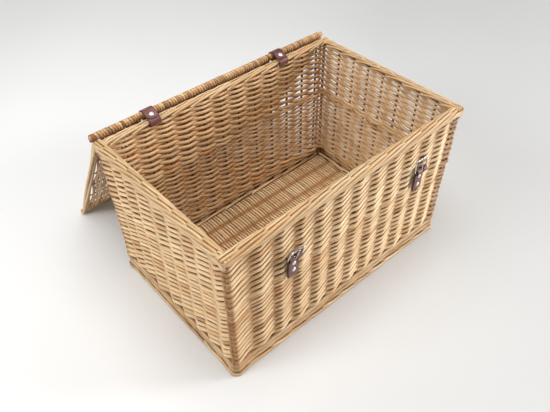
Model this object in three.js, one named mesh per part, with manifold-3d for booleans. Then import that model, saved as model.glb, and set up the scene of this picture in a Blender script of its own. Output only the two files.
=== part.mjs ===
import * as THREE from 'three';
import { mergeVertices } from 'three/addons/utils/BufferGeometryUtils.js';
import Module from 'manifold-3d';

const wasm = await Module();
wasm.setup();

// ---- driving dimensions, millimetres ------------------------------------
const LENGTH = 600;            // outside length at the rim (X)
const WIDTH = 388;             // outside width at the rim (Y)
const HEIGHT = 341;            // floor to rim top (Z)
const INSET_X = 4.65;          // each end wall leans in by this much at the floor
const INSET_Y = 4.85;          // each long wall leans in by this much at the floor
const WALL_T = 17;             // woven wall: stake plus a rod on each side
const RIM_W = 18;              // rim border, across
const RIM_H = 10;              // rim border, up
const FOOT_H = 15;             // foot border height
const WALE_TOP = 38;           // top of the wale, two rows of stouter rods
const BASE_T = 12;             // woven base thickness
const BASE_STICKS = 8;
const STICK_R = 3.8;
const POST_R = 7.6;            // corner post radius
const GAP = 0.3;               // clearance between neighbouring pieces

const BAR_R = 7.5;             // hinge bar with its wrapping
const BAR_CORE_R = 5.2;
const BAR_BEHIND = 8;          // bar centre behind the rim's back face
const BAR_ABOVE = 3;           // bar centre above the rim top
const LID_BORDER_R = 7.5;      // side and front border rods of the lid
const LID_T = 10;              // woven lid panel thickness
const LID_STICKS = 6;
const LID_STICK_R = 3.3;

const LEATHER_T = 2.2;
const HINGE_STRAP_W = 26;
const HINGE_X = [-177, 155];   // hinge strap centres
const BUCKLE_X = [-157, 183];  // buckle and closing strap centres
const BUCKLE_Z = 244;          // height of the buckle bars
const TAB_W = 24;
const TAB_DROP = 48;           // tab end below the buckle bar
const TAB_RIVETS = [[14.5, 31.5], [14.5, 36.5]]; // rivets below the buckle bar, left and right
const FRAME_W = 36;
const FRAME_H = 31;
const WIRE = 3;
const FRAME_TILT = [18, -4];    // degrees outward from the wall, left and right
const STRAP_W = 24;
const STRAP_LEN = 150;
const STRAP_LAP = 30;

// ---- helpers -------------------------------------------------------------
const deg = (d) => (d * Math.PI) / 180;
const outX = (z) => LENGTH / 2 - INSET_X * (1 - z / HEIGHT);
const outY = (z) => WIDTH / 2 - INSET_Y * (1 - z / HEIGHT);

function clean(geo) {
  const g = geo.clone();
  g.deleteAttribute('normal');
  if (g.getAttribute('uv')) g.deleteAttribute('uv');
  return mergeVertices(g, 1e-4);
}
function toSolid(geo) {
  const g = clean(geo);
  return new wasm.Manifold(new wasm.Mesh({
    numProp: 3,
    vertProperties: new Float32Array(g.getAttribute('position').array),
    triVerts: new Uint32Array(g.getIndex().array),
  }));
}
function toGeo(solid) {
  const m = solid.getMesh();
  const g = new THREE.BufferGeometry();
  g.setAttribute('position', new THREE.BufferAttribute(new Float32Array(m.vertProperties), 3));
  g.setIndex(new THREE.BufferAttribute(new Uint32Array(m.triVerts), 1));
  return g;
}
// a box whose lower and upper rectangles differ: [x0, x1, y0, y1] at z0 and z1
function frustum(lo, hi, z0, z1) {
  const g = new THREE.BoxGeometry(1, 1, 1);
  const p = g.getAttribute('position');
  for (let i = 0; i < p.count; i++) {
    const top = p.getZ(i) > 0;
    const r = top ? hi : lo;
    p.setXYZ(i, p.getX(i) > 0 ? r[1] : r[0], p.getY(i) > 0 ? r[3] : r[2], top ? z1 : z0);
  }
  return clean(g);
}
// a profile in (Y, Z), extruded along X between x0 and x1
function alongX(points, x0, x1, holes = []) {
  const s = new THREE.Shape(points.map(([y, z]) => new THREE.Vector2(y, z)));
  for (const h of holes) s.holes.push(new THREE.Path(h.map(([y, z]) => new THREE.Vector2(y, z))));
  const g = new THREE.ExtrudeGeometry(s, { depth: x1 - x0, bevelEnabled: false, steps: 1 });
  // shape x -> Y, shape y -> Z, depth -> X
  g.applyMatrix4(new THREE.Matrix4().set(0, 0, 1, x0, 1, 0, 0, 0, 0, 1, 0, 0, 0, 0, 0, 1));
  return clean(g);
}
// a profile in (X, Z), extruded along Y between y0 and y1
function alongY(points, y0, y1) {
  const s = new THREE.Shape(points.map(([x, z]) => new THREE.Vector2(x, z)));
  const g = new THREE.ExtrudeGeometry(s, { depth: y1 - y0, bevelEnabled: false, steps: 1 });
  // shape x -> X, shape y -> Z, depth -> -Y
  g.applyMatrix4(new THREE.Matrix4().set(1, 0, 0, 0, 0, 0, -1, y1, 0, 1, 0, 0, 0, 0, 0, 1));
  return clean(g);
}
function roundedRect(a0, a1, b0, b1, r, n = 3) {
  const pts = [];
  const c = [[a1 - r, b1 - r, 0], [a0 + r, b1 - r, 90], [a0 + r, b0 + r, 180], [a1 - r, b0 + r, 270]];
  for (const [ca, cb, start] of c) {
    for (let i = 0; i <= n; i++) {
      const t = deg(start + (90 * i) / n);
      pts.push([ca + r * Math.cos(t), cb + r * Math.sin(t)]);
    }
  }
  return pts;
}
function circle(cy, cz, r, n = 12, phase = 0) {
  return Array.from({ length: n }, (_, i) => {
    const t = (2 * Math.PI * (i + phase)) / n;
    return [cy + r * Math.cos(t), cz + r * Math.sin(t)];
  });
}
// convex outline around circles [cy, cz, r]
function hull(circles, n = 36) {
  const p = circles.flatMap(([y, z, r]) => circle(y, z, r, n)).sort((a, b) => a[0] - b[0] || a[1] - b[1]);
  const cross = (o, a, b) => (a[0] - o[0]) * (b[1] - o[1]) - (a[1] - o[1]) * (b[0] - o[0]);
  const half = (list) => {
    const h = [];
    for (const q of list) {
      while (h.length >= 2 && cross(h[h.length - 2], h[h.length - 1], q) <= 1e-9) h.pop();
      h.push(q);
    }
    h.pop();
    return h;
  };
  return [...half(p), ...half([...p].reverse())];
}
// round rod between two points
function rod(a, b, r, n = 12) {
  const A = new THREE.Vector3(...a);
  const B = new THREE.Vector3(...b);
  const d = B.clone().sub(A);
  const g = new THREE.CylinderGeometry(r, r, d.length(), n, 1);
  g.applyQuaternion(new THREE.Quaternion().setFromUnitVectors(new THREE.Vector3(0, 1, 0), d.normalize()));
  const m = A.clone().add(B).multiplyScalar(0.5);
  g.translate(m.x, m.y, m.z);
  return clean(g);
}
// a rivet along +Z: domed head from h0 up, shank down to s0, optional clinched disc below
function rivet(h0, s0, disc, headR = 4.6, rise = 1.7, shankR = 2, n = 12) {
  const pts = [];
  if (disc > 0) {
    pts.push([0, s0 - disc], [3.6, s0 - disc], [3.6, s0], [shankR, s0]);
  } else {
    pts.push([0, s0], [shankR, s0]);
  }
  pts.push([shankR, h0], [headR, h0], [headR * 0.93, h0 + rise * 0.45], [headR * 0.62, h0 + rise * 0.85], [0, h0 + rise]);
  const g = new THREE.LatheGeometry(pts.map(([r, h]) => new THREE.Vector2(r, h)), n);
  g.rotateX(Math.PI / 2); // profile axis Y -> Z
  return clean(g);
}

// ---- materials -----------------------------------------------------------
const LOOK = {
  willow: { color: 0xd6b07c, roughness: 0.62, metalness: 0 },
  willow_border: { color: 0xdcb985, roughness: 0.58, metalness: 0 },
  willow_stick: { color: 0xb98f5d, roughness: 0.65, metalness: 0 },
  leather: { color: 0x5c3a37, roughness: 0.55, metalness: 0 },
  steel: { color: 0xd9d9dc, roughness: 0.22, metalness: 1 },
};
function add(group, name, geo, look) {
  const mesh = new THREE.Mesh(clean(geo), new THREE.MeshStandardMaterial({ ...LOOK[look] }));
  mesh.name = name;
  group.add(mesh);
  return mesh;
}

const trunk = new THREE.Group();
trunk.name = 'wicker_trunk';

// ---- base ------------------------------------------------------------------
const baseX = outX(0) - WALL_T - GAP;
const baseY = outY(0) - WALL_T - GAP;
const stickY = Array.from({ length: BASE_STICKS }, (_, i) => (i - (BASE_STICKS - 1) / 2) * 45.5);
add(trunk, 'base_weave', alongX(
  [[-baseY, 0], [baseY, 0], [baseY, BASE_T], [-baseY, BASE_T]], -baseX, baseX,
  stickY.map((y) => circle(y, BASE_T / 2, STICK_R + 0.5, 8, 0.5)),
), 'willow');
stickY.forEach((y, i) => add(trunk, `base_stick_${i + 1}`,
  alongX(circle(y, BASE_T / 2, STICK_R, 8, 0.5), -baseX, baseX), 'willow_stick'));

// ---- foot border, wale and walls -------------------------------------------
// one straight band of wall on each side, between heights z0 and z1
function band(prefix, z0, z1, look, full, cut = {}) {
  const lo = { x: outX(z0), y: outY(z0) };
  const hi = { x: outX(z1), y: outY(z1) };
  const post = 2 * POST_R + 1.2;
  const endLo = full ? 0 : post;
  const long = (s) => frustum(
    [-lo.x + endLo, lo.x - endLo, s < 0 ? -lo.y : lo.y - WALL_T, s < 0 ? -lo.y + WALL_T : lo.y],
    [-hi.x + endLo, hi.x - endLo, s < 0 ? -hi.y : hi.y - WALL_T, s < 0 ? -hi.y + WALL_T : hi.y], z0, z1);
  const endY = WALL_T + GAP;
  const short = (s) => frustum(
    [s < 0 ? -lo.x : lo.x - WALL_T, s < 0 ? -lo.x + WALL_T : lo.x, -lo.y + endY, lo.y - endY],
    [s < 0 ? -hi.x : hi.x - WALL_T, s < 0 ? -hi.x + WALL_T : hi.x, -hi.y + endY, hi.y - endY], z0, z1);
  const parts = { front: long(-1), back: long(1), left: short(-1), right: short(1) };
  for (const side of Object.keys(parts)) {
    let g = parts[side];
    if (cut[side]) {
      let s = toSolid(g);
      for (const c of cut[side]) s = s.subtract(toSolid(c));
      g = toGeo(s);
    }
    add(trunk, `${prefix}_${side}`, g, look);
  }
}
band('foot', 0, FOOT_H, 'willow_border', true);
band('wale', FOOT_H + GAP, WALE_TOP, 'willow_border', false);

const rimZ0 = HEIGHT - RIM_H;
const wallTop = rimZ0 - GAP;
const lean = Math.atan(INSET_Y / HEIGHT);
// buckle frame of reference: origin on the front wall's outer face at the bar height
const buckleBase = BUCKLE_X.map((x) => new THREE.Matrix4().makeTranslation(x, -outY(BUCKLE_Z), BUCKLE_Z)
  .multiply(new THREE.Matrix4().makeRotationX(lean)));
const rivetHoles = buckleBase.flatMap((m, i) => TAB_RIVETS[i].map((d) => {
  const g = rod([0, -12, -d], [0, WALL_T + 12, -d], 2.4, 10);
  g.applyMatrix4(m);
  return g;
}));
const strapNotches = HINGE_X.map((x) => {
  const g = new THREE.BoxGeometry(HINGE_STRAP_W + 1.2, 60, 6.4);
  g.translate(x, outY(wallTop) - 8, wallTop);
  return g;
});
band('wall', WALE_TOP + GAP, wallTop, 'willow', false, { front: rivetHoles, back: strapNotches });

// ---- corner posts ------------------------------------------------------------
for (const [name, sx, sy] of [['front_left', -1, -1], ['front_right', 1, -1], ['back_left', -1, 1], ['back_right', 1, 1]]) {
  const off = POST_R + 0.4;
  const at = (z) => [sx * (outX(z) - off), sy * (outY(z) - off), z];
  const z0 = FOOT_H + GAP + 0.4;
  const z1 = wallTop - 0.4;
  add(trunk, `post_${name}`, rod(at(z0), at(z1), POST_R, 14), 'willow_border');
}

// ---- rim border ---------------------------------------------------------------
const rimX = LENGTH / 2;
const rimY = WIDTH / 2;
add(trunk, 'rim_front', alongX(roundedRect(-rimY, -rimY + RIM_W, rimZ0, HEIGHT, 4), -rimX, rimX), 'willow_border');
add(trunk, 'rim_back', alongX(roundedRect(rimY - RIM_W, rimY, rimZ0, HEIGHT, 4), -rimX, rimX), 'willow_border');
const rimSide = rimY - RIM_W - GAP;
add(trunk, 'rim_left', alongY(roundedRect(-rimX, -rimX + RIM_W, rimZ0, HEIGHT, 4), -rimSide, rimSide), 'willow_border');
add(trunk, 'rim_right', alongY(roundedRect(rimX - RIM_W, rimX, rimZ0, HEIGHT, 4), -rimSide, rimSide), 'willow_border');

// ---- leather hinge straps: a loop round the rim border and the hinge bar ------
const barY = rimY + BAR_BEHIND;
const barZ = HEIGHT + BAR_ABOVE;
const inner = [[rimY - RIM_W, HEIGHT], [rimY - RIM_W, rimZ0], [rimY, rimZ0]];
const clear = 0.4;
const loopIn = hull([...inner.map(([y, z]) => [y, z, clear]), [barY, barZ, BAR_R + clear]]);
const loopOut = hull([...inner.map(([y, z]) => [y, z, clear + LEATHER_T]), [barY, barZ, BAR_R + clear + LEATHER_T]]);
// straight top run of the loop, from the rim's inner edge up to the bar
const runA = new THREE.Vector2(rimY - RIM_W, HEIGHT);
const toBar = new THREE.Vector2(barY, barZ).sub(runA);
const runAngle = Math.atan2(toBar.y, toBar.x) + Math.asin(BAR_R / toBar.length());
const runLen = Math.sqrt(toBar.lengthSq() - BAR_R * BAR_R);
const t = new THREE.Vector2(Math.cos(runAngle), Math.sin(runAngle));
const nrm = new THREE.Vector2(-t.y, t.x);
const onRun = (s, h) => runA.clone().addScaledVector(t, s).addScaledVector(nrm, h).toArray();
const h1 = clear + LEATHER_T;
HINGE_X.forEach((x, i) => {
  const side = ['left', 'right'][i];
  const x0 = x - HINGE_STRAP_W / 2;
  const x1 = x + HINGE_STRAP_W / 2;
  let s = toSolid(alongX(loopOut, x0, x1, [loopIn]));
  const flap = [onRun(-1.5, h1 - 0.6), onRun(runLen + 3, h1 - 1.4), onRun(runLen + 3, h1 + 0.3),
    onRun(runLen - 5, h1 + LEATHER_T), onRun(-1.5, h1 + LEATHER_T)];
  s = s.add(toSolid(alongX(flap, x0, x1)));
  // rivet through both thicknesses, half way along the run
  const mid = onRun(12.5, 0);
  const place = new THREE.Matrix4().makeTranslation(x, mid[0], mid[1])
    .multiply(new THREE.Matrix4().makeRotationX(runAngle));
  const hole = rod([0, 0, -3], [0, 0, 12], 2.4, 10);
  hole.applyMatrix4(place);
  s = s.subtract(toSolid(hole));
  add(trunk, `hinge_strap_${side}`, toGeo(s), 'leather');
  const r = rivet(h1 + LEATHER_T + 0.2, clear - 0.3, 1.1);
  r.applyMatrix4(place);
  add(trunk, `hinge_rivet_${side}`, r, 'steel');
});

// ---- buckle tabs, rivets, frames and prongs -----------------------------------
const TAB_T = 2 * LEATHER_T + 0.2;
const PIVOT_OUT = 5.1;         // buckle bar in front of the wall face
BUCKLE_X.forEach((x, i) => {
  const side = ['left', 'right'][i];
  const m = buckleBase[i];
  const w = TAB_W / 2;
  let s = toSolid(alongX([[-GAP - TAB_T, -TAB_DROP], [-GAP, -TAB_DROP], [-GAP, 0], [-GAP - TAB_T, 0]], -w, w));
  s = s.add(toSolid(alongX(circle(-PIVOT_OUT, 0, 4.8, 20), -w, w)));
  s = s.subtract(toSolid(alongX(circle(-PIVOT_OUT, 0, 2.6, 16), -w - 1, w + 1)));
  const slot = new THREE.BoxGeometry(6, 14, 17.2);
  slot.translate(0, -PIVOT_OUT, -1.4);
  s = s.subtract(toSolid(slot));
  for (const d of TAB_RIVETS[i]) s = s.subtract(toSolid(rod([0, -12, -d], [0, 6, -d], 2.4, 10)));
  const tab = toGeo(s);
  tab.applyMatrix4(m);
  add(trunk, `buckle_tab_${side}`, tab, 'leather');
  TAB_RIVETS[i].forEach((d, k) => {
    const r = rivet(GAP + TAB_T + 0.2, -WALL_T - 0.3, 1.1);
    r.applyMatrix4(new THREE.Matrix4().makeRotationX(Math.PI / 2)); // head toward -Y
    r.translate(0, 0, -d);
    r.applyMatrix4(m);
    add(trunk, `tab_rivet_${side}_${['upper', 'lower'][k]}`, r, 'steel');
  });
  const place = m.clone().multiply(new THREE.Matrix4().makeTranslation(0, -PIVOT_OUT, 0))
    .multiply(new THREE.Matrix4().makeRotationX(deg(FRAME_TILT[i])));
  const fw = FRAME_W / 2;
  const hw = WIRE / 2;
  const outer = roundedRect(-fw, fw, -hw, FRAME_H - hw, 2.6, 3).map(([a, b]) => new THREE.Vector2(a, b));
  const shape = new THREE.Shape(outer);
  shape.holes.push(new THREE.Path(roundedRect(-fw + WIRE + 0.5, fw - WIRE - 0.5, hw, FRAME_H - 3 * hw, 1, 2)
    .map(([a, b]) => new THREE.Vector2(a, b))));
  const frame = new THREE.ExtrudeGeometry(shape, { depth: WIRE, bevelEnabled: false });
  frame.applyMatrix4(new THREE.Matrix4().set(1, 0, 0, 0, 0, 0, -1, hw, 0, 1, 0, 0, 0, 0, 0, 1));
  frame.applyMatrix4(place);
  add(trunk, `buckle_frame_${side}`, frame, 'steel');
  let p = toSolid(alongX(circle(0, 0, 4.1, 18), -1.5, 1.5));
  p = p.add(toSolid(rod([0, -3.2, 0], [0, -3.2, FRAME_H + 0.8], 1.2, 10)));
  p = p.subtract(toSolid(alongX(circle(0, 0, 2.4, 14), -3, 3)));
  const prong = toGeo(p);
  prong.applyMatrix4(place);
  add(trunk, `buckle_prong_${side}`, prong, 'steel');
});

// ---- lid, drawn closed around the hinge axis, then laid open --------------------
// in the lid's own frame the panel runs forward, toward -Y, and its outer face is +Z
const reach = WIDTH + BAR_BEHIND;             // hinge axis to the front edge
const frontS = reach - LID_BORDER_R;          // hinge axis to the front border's centre
const ringOut = LID_BORDER_R + clear + LEATHER_T;
const lidUp = HEIGHT + clear + ringOut - barZ; // border centres above the hinge axis
// open angle at which the strap loops on the front border touch the floor
const drop = barZ - (ringOut + 0.05);
const open = Math.PI + Math.asin(drop / Math.hypot(frontS, lidUp)) - Math.atan2(lidUp, frontS);
const lid = new THREE.Group();
lid.name = 'lid_group';
lid.position.set(0, barY, barZ);
lid.rotation.x = -open;
trunk.add(lid);

const lidX = LENGTH / 2;
const sideX = lidX - 0.5 - LID_BORDER_R;
const panelX = sideX - LID_BORDER_R - GAP;
const panelS0 = BAR_R + 1;
const panelS1 = frontS - LID_BORDER_R - GAP;
const panelZ0 = lidUp - 3.5;
const panelZ1 = panelZ0 + LID_T;
const lidStickS = Array.from({ length: LID_STICKS }, (_, i) => 36 + (i * (panelS1 - 62)) / (LID_STICKS - 1));
{
  let s = toSolid(alongX([[-panelS1, panelZ0], [-panelS0, panelZ0], [-panelS0, panelZ1], [-panelS1, panelZ1]],
    -panelX, panelX, lidStickS.map((d) => circle(-d, panelZ0 + LID_T / 2, LID_STICK_R + 0.5, 8, 0.5))));
  for (const x of HINGE_X) {
    const b = new THREE.BoxGeometry(HINGE_STRAP_W + 4, 40, 40);
    b.translate(x, -28 + 20, panelZ0);
    s = s.subtract(toSolid(b));
  }
  for (const x of BUCKLE_X) {
    const b = new THREE.BoxGeometry(STRAP_W + 4, 20, 40);
    b.translate(x, -frontS - 9 + ringOut, panelZ0);
    s = s.subtract(toSolid(b));
  }
  add(lid, 'lid_weave', toGeo(s), 'willow');
}
lidStickS.forEach((d, i) => add(lid, `lid_stick_${i + 1}`,
  alongX(circle(-d, panelZ0 + LID_T / 2, LID_STICK_R, 8, 0.5), -panelX, panelX), 'willow_stick'));
add(lid, 'lid_border_front', alongX(circle(-frontS, lidUp, LID_BORDER_R, 20), -lidX + 0.5, lidX - 0.5), 'willow_border');
for (const [name, sx] of [['left', -1], ['right', 1]]) {
  add(lid, `lid_border_${name}`, rod([sx * sideX, -panelS0, lidUp], [sx * sideX, -panelS1, lidUp], LID_BORDER_R, 14), 'willow_border');
}
add(lid, 'hinge_bar_wrap', alongX(circle(0, 0, BAR_R, 24), -lidX, lidX, [circle(0, 0, BAR_CORE_R + GAP, 16)]), 'willow_border');
add(lid, 'hinge_bar_core', alongX(circle(0, 0, BAR_CORE_R, 16), -lidX, lidX), 'willow_stick');

// ---- closing straps, looped round the front border, lying on the floor ---------
const cy = barY - frontS * Math.cos(open) + lidUp * Math.sin(open);
const cz = barZ + frontS * Math.sin(open) + lidUp * Math.cos(open);
BUCKLE_X.forEach((x, i) => {
  const side = ['left', 'right'][i];
  const w = STRAP_W / 2;
  const z0 = cz - ringOut;
  let s = toSolid(alongX(circle(cy, cz, ringOut, 28), x - w, x + w));
  const tongue = new THREE.Shape();
  tongue.moveTo(x - w, cy - 2);
  tongue.lineTo(x + w, cy - 2);
  tongue.lineTo(x + w, cy + STRAP_LEN - 16);
  tongue.quadraticCurveTo(x + w, cy + STRAP_LEN - 4, x, cy + STRAP_LEN);
  tongue.quadraticCurveTo(x - w, cy + STRAP_LEN - 4, x - w, cy + STRAP_LEN - 16);
  for (let k = 0; k < 4; k++) {
    tongue.holes.push(new THREE.Path(circle(x, cy + 76 + 15 * k, 2.2, 8).map(([a, b]) => new THREE.Vector2(a, b))));
  }
  const flat = new THREE.ExtrudeGeometry(tongue, { depth: LEATHER_T, bevelEnabled: false, curveSegments: 4 });
  flat.translate(0, 0, z0);
  s = s.add(toSolid(flat));
  s = s.add(toSolid(alongX([[cy + 6.6, z0 + 1], [cy + STRAP_LAP, z0 + 1], [cy + STRAP_LAP, z0 + 2 * LEATHER_T],
    [cy + 6.6, z0 + 2 * LEATHER_T]], x - w, x + w)));
  s = s.subtract(toSolid(alongX(circle(cy, cz, LID_BORDER_R + clear, 24), x - w - 1, x + w + 1)));
  s = s.subtract(toSolid(rod([x, cy + 19, -2], [x, cy + 19, 9], 2.4, 10)));
  add(trunk, `lid_strap_${side}`, toGeo(s), 'leather');
  const r = rivet(z0 + 2 * LEATHER_T + 0.2, z0 + 0.3, 0);
  r.translate(x, cy + 19, 0);
  add(trunk, `strap_rivet_${side}`, r, 'steel');
});

export default trunk;
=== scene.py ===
import math

import bpy
import numpy as np
from mathutils import Matrix


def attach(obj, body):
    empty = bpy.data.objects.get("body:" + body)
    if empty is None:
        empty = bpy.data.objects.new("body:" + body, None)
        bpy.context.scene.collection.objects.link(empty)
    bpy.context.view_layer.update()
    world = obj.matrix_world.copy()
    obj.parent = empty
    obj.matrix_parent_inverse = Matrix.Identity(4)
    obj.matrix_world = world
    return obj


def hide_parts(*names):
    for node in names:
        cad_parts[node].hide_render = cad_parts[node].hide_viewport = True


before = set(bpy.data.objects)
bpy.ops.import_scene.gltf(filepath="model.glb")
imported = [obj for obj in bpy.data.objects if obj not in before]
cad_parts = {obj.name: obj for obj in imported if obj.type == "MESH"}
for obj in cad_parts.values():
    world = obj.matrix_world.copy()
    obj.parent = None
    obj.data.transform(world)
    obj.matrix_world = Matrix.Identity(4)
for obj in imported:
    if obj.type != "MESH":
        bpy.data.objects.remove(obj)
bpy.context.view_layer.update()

rng = np.random.default_rng(4189)

# ---------------------------------------------------------------- dimensions, mm
LENGTH, WIDTH, HEIGHT = 600.0, 388.0, 341.0
INSET_X, INSET_Y = 4.65, 4.85
HALF_T = 8.5                      # outer wall face to the middle of the weave
RIM_W, RIM_H = 18.0, 10.0
BAR_Y, BAR_Z, BAR_R = 202.0, 344.0, 7.5
FRONT_S = 388.5                   # hinge axis to the lid's front border
LID_UP = 7.5
LID_R = 7.5
CLEAR, LEATHER_T = 0.4, 2.2
RING = LID_R + CLEAR + LEATHER_T
HINGE_X = (-177.0, 155.0)
BUCKLE_X = (-157.0, 183.0)
BUCKLE_Z = 244.0
TAB_RIVETS = ((14.5, 31.5), (14.5, 36.5))
PIVOT_OUT = 5.1
FRAME_TILT = (18.0, -4.0)
SIDES = ("left", "right")
OPEN = math.pi + math.asin((BAR_Z - RING - 0.05) / math.hypot(FRONT_S, LID_UP)) - math.atan2(LID_UP, FRONT_S)
STRAP_CY = BAR_Y - FRONT_S * math.cos(OPEN) + LID_UP * math.sin(OPEN)
STRAP_CZ = BAR_Z + FRONT_S * math.sin(OPEN) + LID_UP * math.cos(OPEN)

# uprights: posts at the corners and stakes between them, set by hand and so not quite evenly; mm along each side
WALLS = ("front", "right", "back", "left")
SIDE_L = {"front": 583.0, "right": 371.0, "back": 583.0, "left": 371.0}
STAKES_AT = {
    "front": [66.0, 113.5, 160.0, 207.5, 254.5, 301.5, 349.0, 397.5, 446.5, 494.5, 542.0],
    "right": [49.5, 94.5, 145.5, 190.5, 232.5, 276.5, 320.5],
    "back": [25.5, 69.5, 118.5, 166.5, 214.0, 261.0, 307.0, 351.5, 399.5, 444.5, 489.5, 534.5],
    "left": [45.5, 83.5, 125.5, 177.5, 221.5, 263.5, 303.5, 349.5],
}
WALL_U, UPRIGHT = {}, {}
N_STAKES = 0
for w in WALLS:
    WALL_U[w] = (N_STAKES, N_STAKES + len(STAKES_AT[w]) + 1)
    UPRIGHT[w] = np.array([0.0] + STAKES_AT[w] + [SIDE_L[w]]) / SIDE_L[w]
    N_STAKES += len(STAKES_AT[w]) + 1
CORNERS = tuple(WALL_U[w][0] for w in WALLS)


def out_x(z):
    return LENGTH / 2 - INSET_X * (1 - z / HEIGHT)


def out_y(z):
    return WIDTH / 2 - INSET_Y * (1 - z / HEIGHT)


# ---------------------------------------------------------------- places on the walls
CORNER_E = 7.0
CHAMFER = 6.2                     # half the width of the face where rods turn a corner
CORNER_H = 20.0
BULGE = 3.0                       # rods that pass outside a corner post stand out by this much


def smooth(t, a, b):
    x = np.clip((t - a) / (b - a), 0, 1)
    return x * x * (3 - 2 * x)


def on_wall(u, q, z):
    """Point at stake coordinate u (runs to the right seen from outside), q outward of the middle of the weave."""
    u, q, z = np.broadcast_arrays(np.asarray(u, float), np.asarray(q, float), np.asarray(z, float))
    um = np.mod(u, N_STAKES)
    A, B = out_x(z) - HALF_T, out_y(z) - HALF_T
    out = np.zeros(u.shape + (3,))
    table = {
        "front": ((-1, -1), (1, -1), (1, 0), (0, -1)),
        "right": ((1, -1), (1, 1), (0, 1), (1, 0)),
        "back": ((1, 1), (-1, 1), (-1, 0), (0, 1)),
        "left": ((-1, 1), (-1, -1), (0, -1), (-1, 0)),
    }
    for w in WALLS:
        u0, u1 = WALL_U[w]
        m = (um >= u0) & (um < u1)
        if not m.any():
            continue
        c0, c1, td, nd = table[w]
        a, b, qq = A[m], B[m], q[m].copy()
        ls = 2 * (a if w in ("front", "back") else b)
        s = np.interp(um[m] - u0, np.arange(u1 - u0 + 1), UPRIGHT[w]) * ls
        near = s <= ls / 2
        d = np.where(near, s, ls - s)
        k = np.clip(1 - d / 26.0, 0, 1)
        qq = qq + BULGE * k * k * (3 - 2 * k) * np.clip(qq / 4.0, 0, 1)
        f = 1 - np.clip(d / CORNER_E, 0, 1)
        ch = 2.2 + (CHAMFER - 2.2) * smooth(qq, -3.0, 4.0)
        te = ch * math.sqrt(2) - qq
        t_arc = te - f * ch / math.sqrt(2)
        n_arc = qq - f * ch / math.sqrt(2)
        t_lin = np.where(d >= CORNER_H, d, te + (CORNER_H - te) * (d - CORNER_E) / (CORNER_H - CORNER_E))
        t = np.where(d < CORNER_E, t_arc, t_lin)
        n = np.where(d < CORNER_E, n_arc, qq)
        cx = np.where(near, c0[0], c1[0]) * a
        cy = np.where(near, c0[1], c1[1]) * b
        sg = np.where(near, 1.0, -1.0)
        out[m, 0] = cx + sg * t * td[0] + n * nd[0]
        out[m, 1] = cy + sg * t * td[1] + n * nd[1]
    out[..., 2] = z
    return out


def on_side(w, u, q, z):
    """The same on one side alone, carried straight on past its corners."""
    u0, u1 = WALL_U[w]
    A, B = out_x(z) - HALF_T, out_y(z) - HALF_T
    k = np.arange(-1, u1 - u0 + 2)
    at = np.concatenate([[-46.0 / SIDE_L[w]], UPRIGHT[w], [1 + 46.0 / SIDE_L[w]]])
    f = np.interp(u - u0, k, at) * 2 - 1
    x, y = {"front": (f * A, -(B + q)), "right": (A + q, f * B), "back": (-f * A, B + q), "left": (-(A + q), -f * B)}[w]
    return np.stack(np.broadcast_arrays(x, y, z), -1)


def corner_offset(u):
    """Distance in bays to the nearest corner post, and that post's number."""
    u = np.asarray(u, float)
    best, which = np.full(u.shape, 99.0), np.zeros(u.shape, int)
    for turn in (-N_STAKES, 0, N_STAKES, 2 * N_STAKES):
        for c in CORNERS:
            d = np.abs(u - c - turn)
            m = d < best
            best = np.where(m, d, best)
            which = np.where(m, c + turn, which)
    return best, which


def corner_mm(u):
    """Distance along the wall to the nearest corner, mm."""
    um = np.mod(np.asarray(u, float), N_STAKES)
    d = np.zeros(um.shape)
    for w in WALLS:
        u0, u1 = WALL_U[w]
        m = (um >= u0) & (um < u1)
        s = np.interp(um[m] - u0, np.arange(u1 - u0 + 1), UPRIGHT[w]) * SIDE_L[w]
        d[m] = np.minimum(s, SIDE_L[w] - s)
    return d


def at_corner(w):
    """Stake coordinates where rods bend, near both ends of a wall."""
    u0, u1 = WALL_U[w]
    d = np.array([CORNER_E * 0.5, CORNER_E, CORNER_E + 1.5, 12.0, 16.0, CORNER_H]) / SIDE_L[w]
    return u0 + np.interp(np.concatenate([d, 1 - d]), UPRIGHT[w], np.arange(u1 - u0 + 1))


def wall_normal(u, q, z):
    v = on_wall(u, q + 0.5, z) - on_wall(u, q - 0.5, z)
    v[..., 2] = 0
    return v / np.maximum(np.linalg.norm(v, axis=-1, keepdims=True), 1e-9)


def to_lid(x, s, z):
    """Lid coordinates (s away from the hinge axis, z toward the outer face) to the rest pose."""
    x, s, z = np.broadcast_arrays(np.asarray(x, float), np.asarray(s, float), np.asarray(z, float))
    y = BAR_Y - s * math.cos(OPEN) + z * math.sin(OPEN)
    zz = BAR_Z + s * math.sin(OPEN) + z * math.cos(OPEN)
    return np.stack([x, y, zz], axis=-1)


# ---------------------------------------------------------------- rods
def transport(pts, first=None):
    t = np.gradient(pts, axis=0)
    t /= np.maximum(np.linalg.norm(t, axis=1, keepdims=True), 1e-9)
    n = np.zeros_like(pts)
    v = np.array(first if first is not None else ((0, 0, 1) if abs(t[0, 2]) < 0.8 else (1, 0, 0)), float)
    for i in range(len(pts)):
        v = v - t[i] * np.dot(v, t[i])
        v /= max(np.linalg.norm(v), 1e-9)
        n[i] = v
    return n


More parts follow.
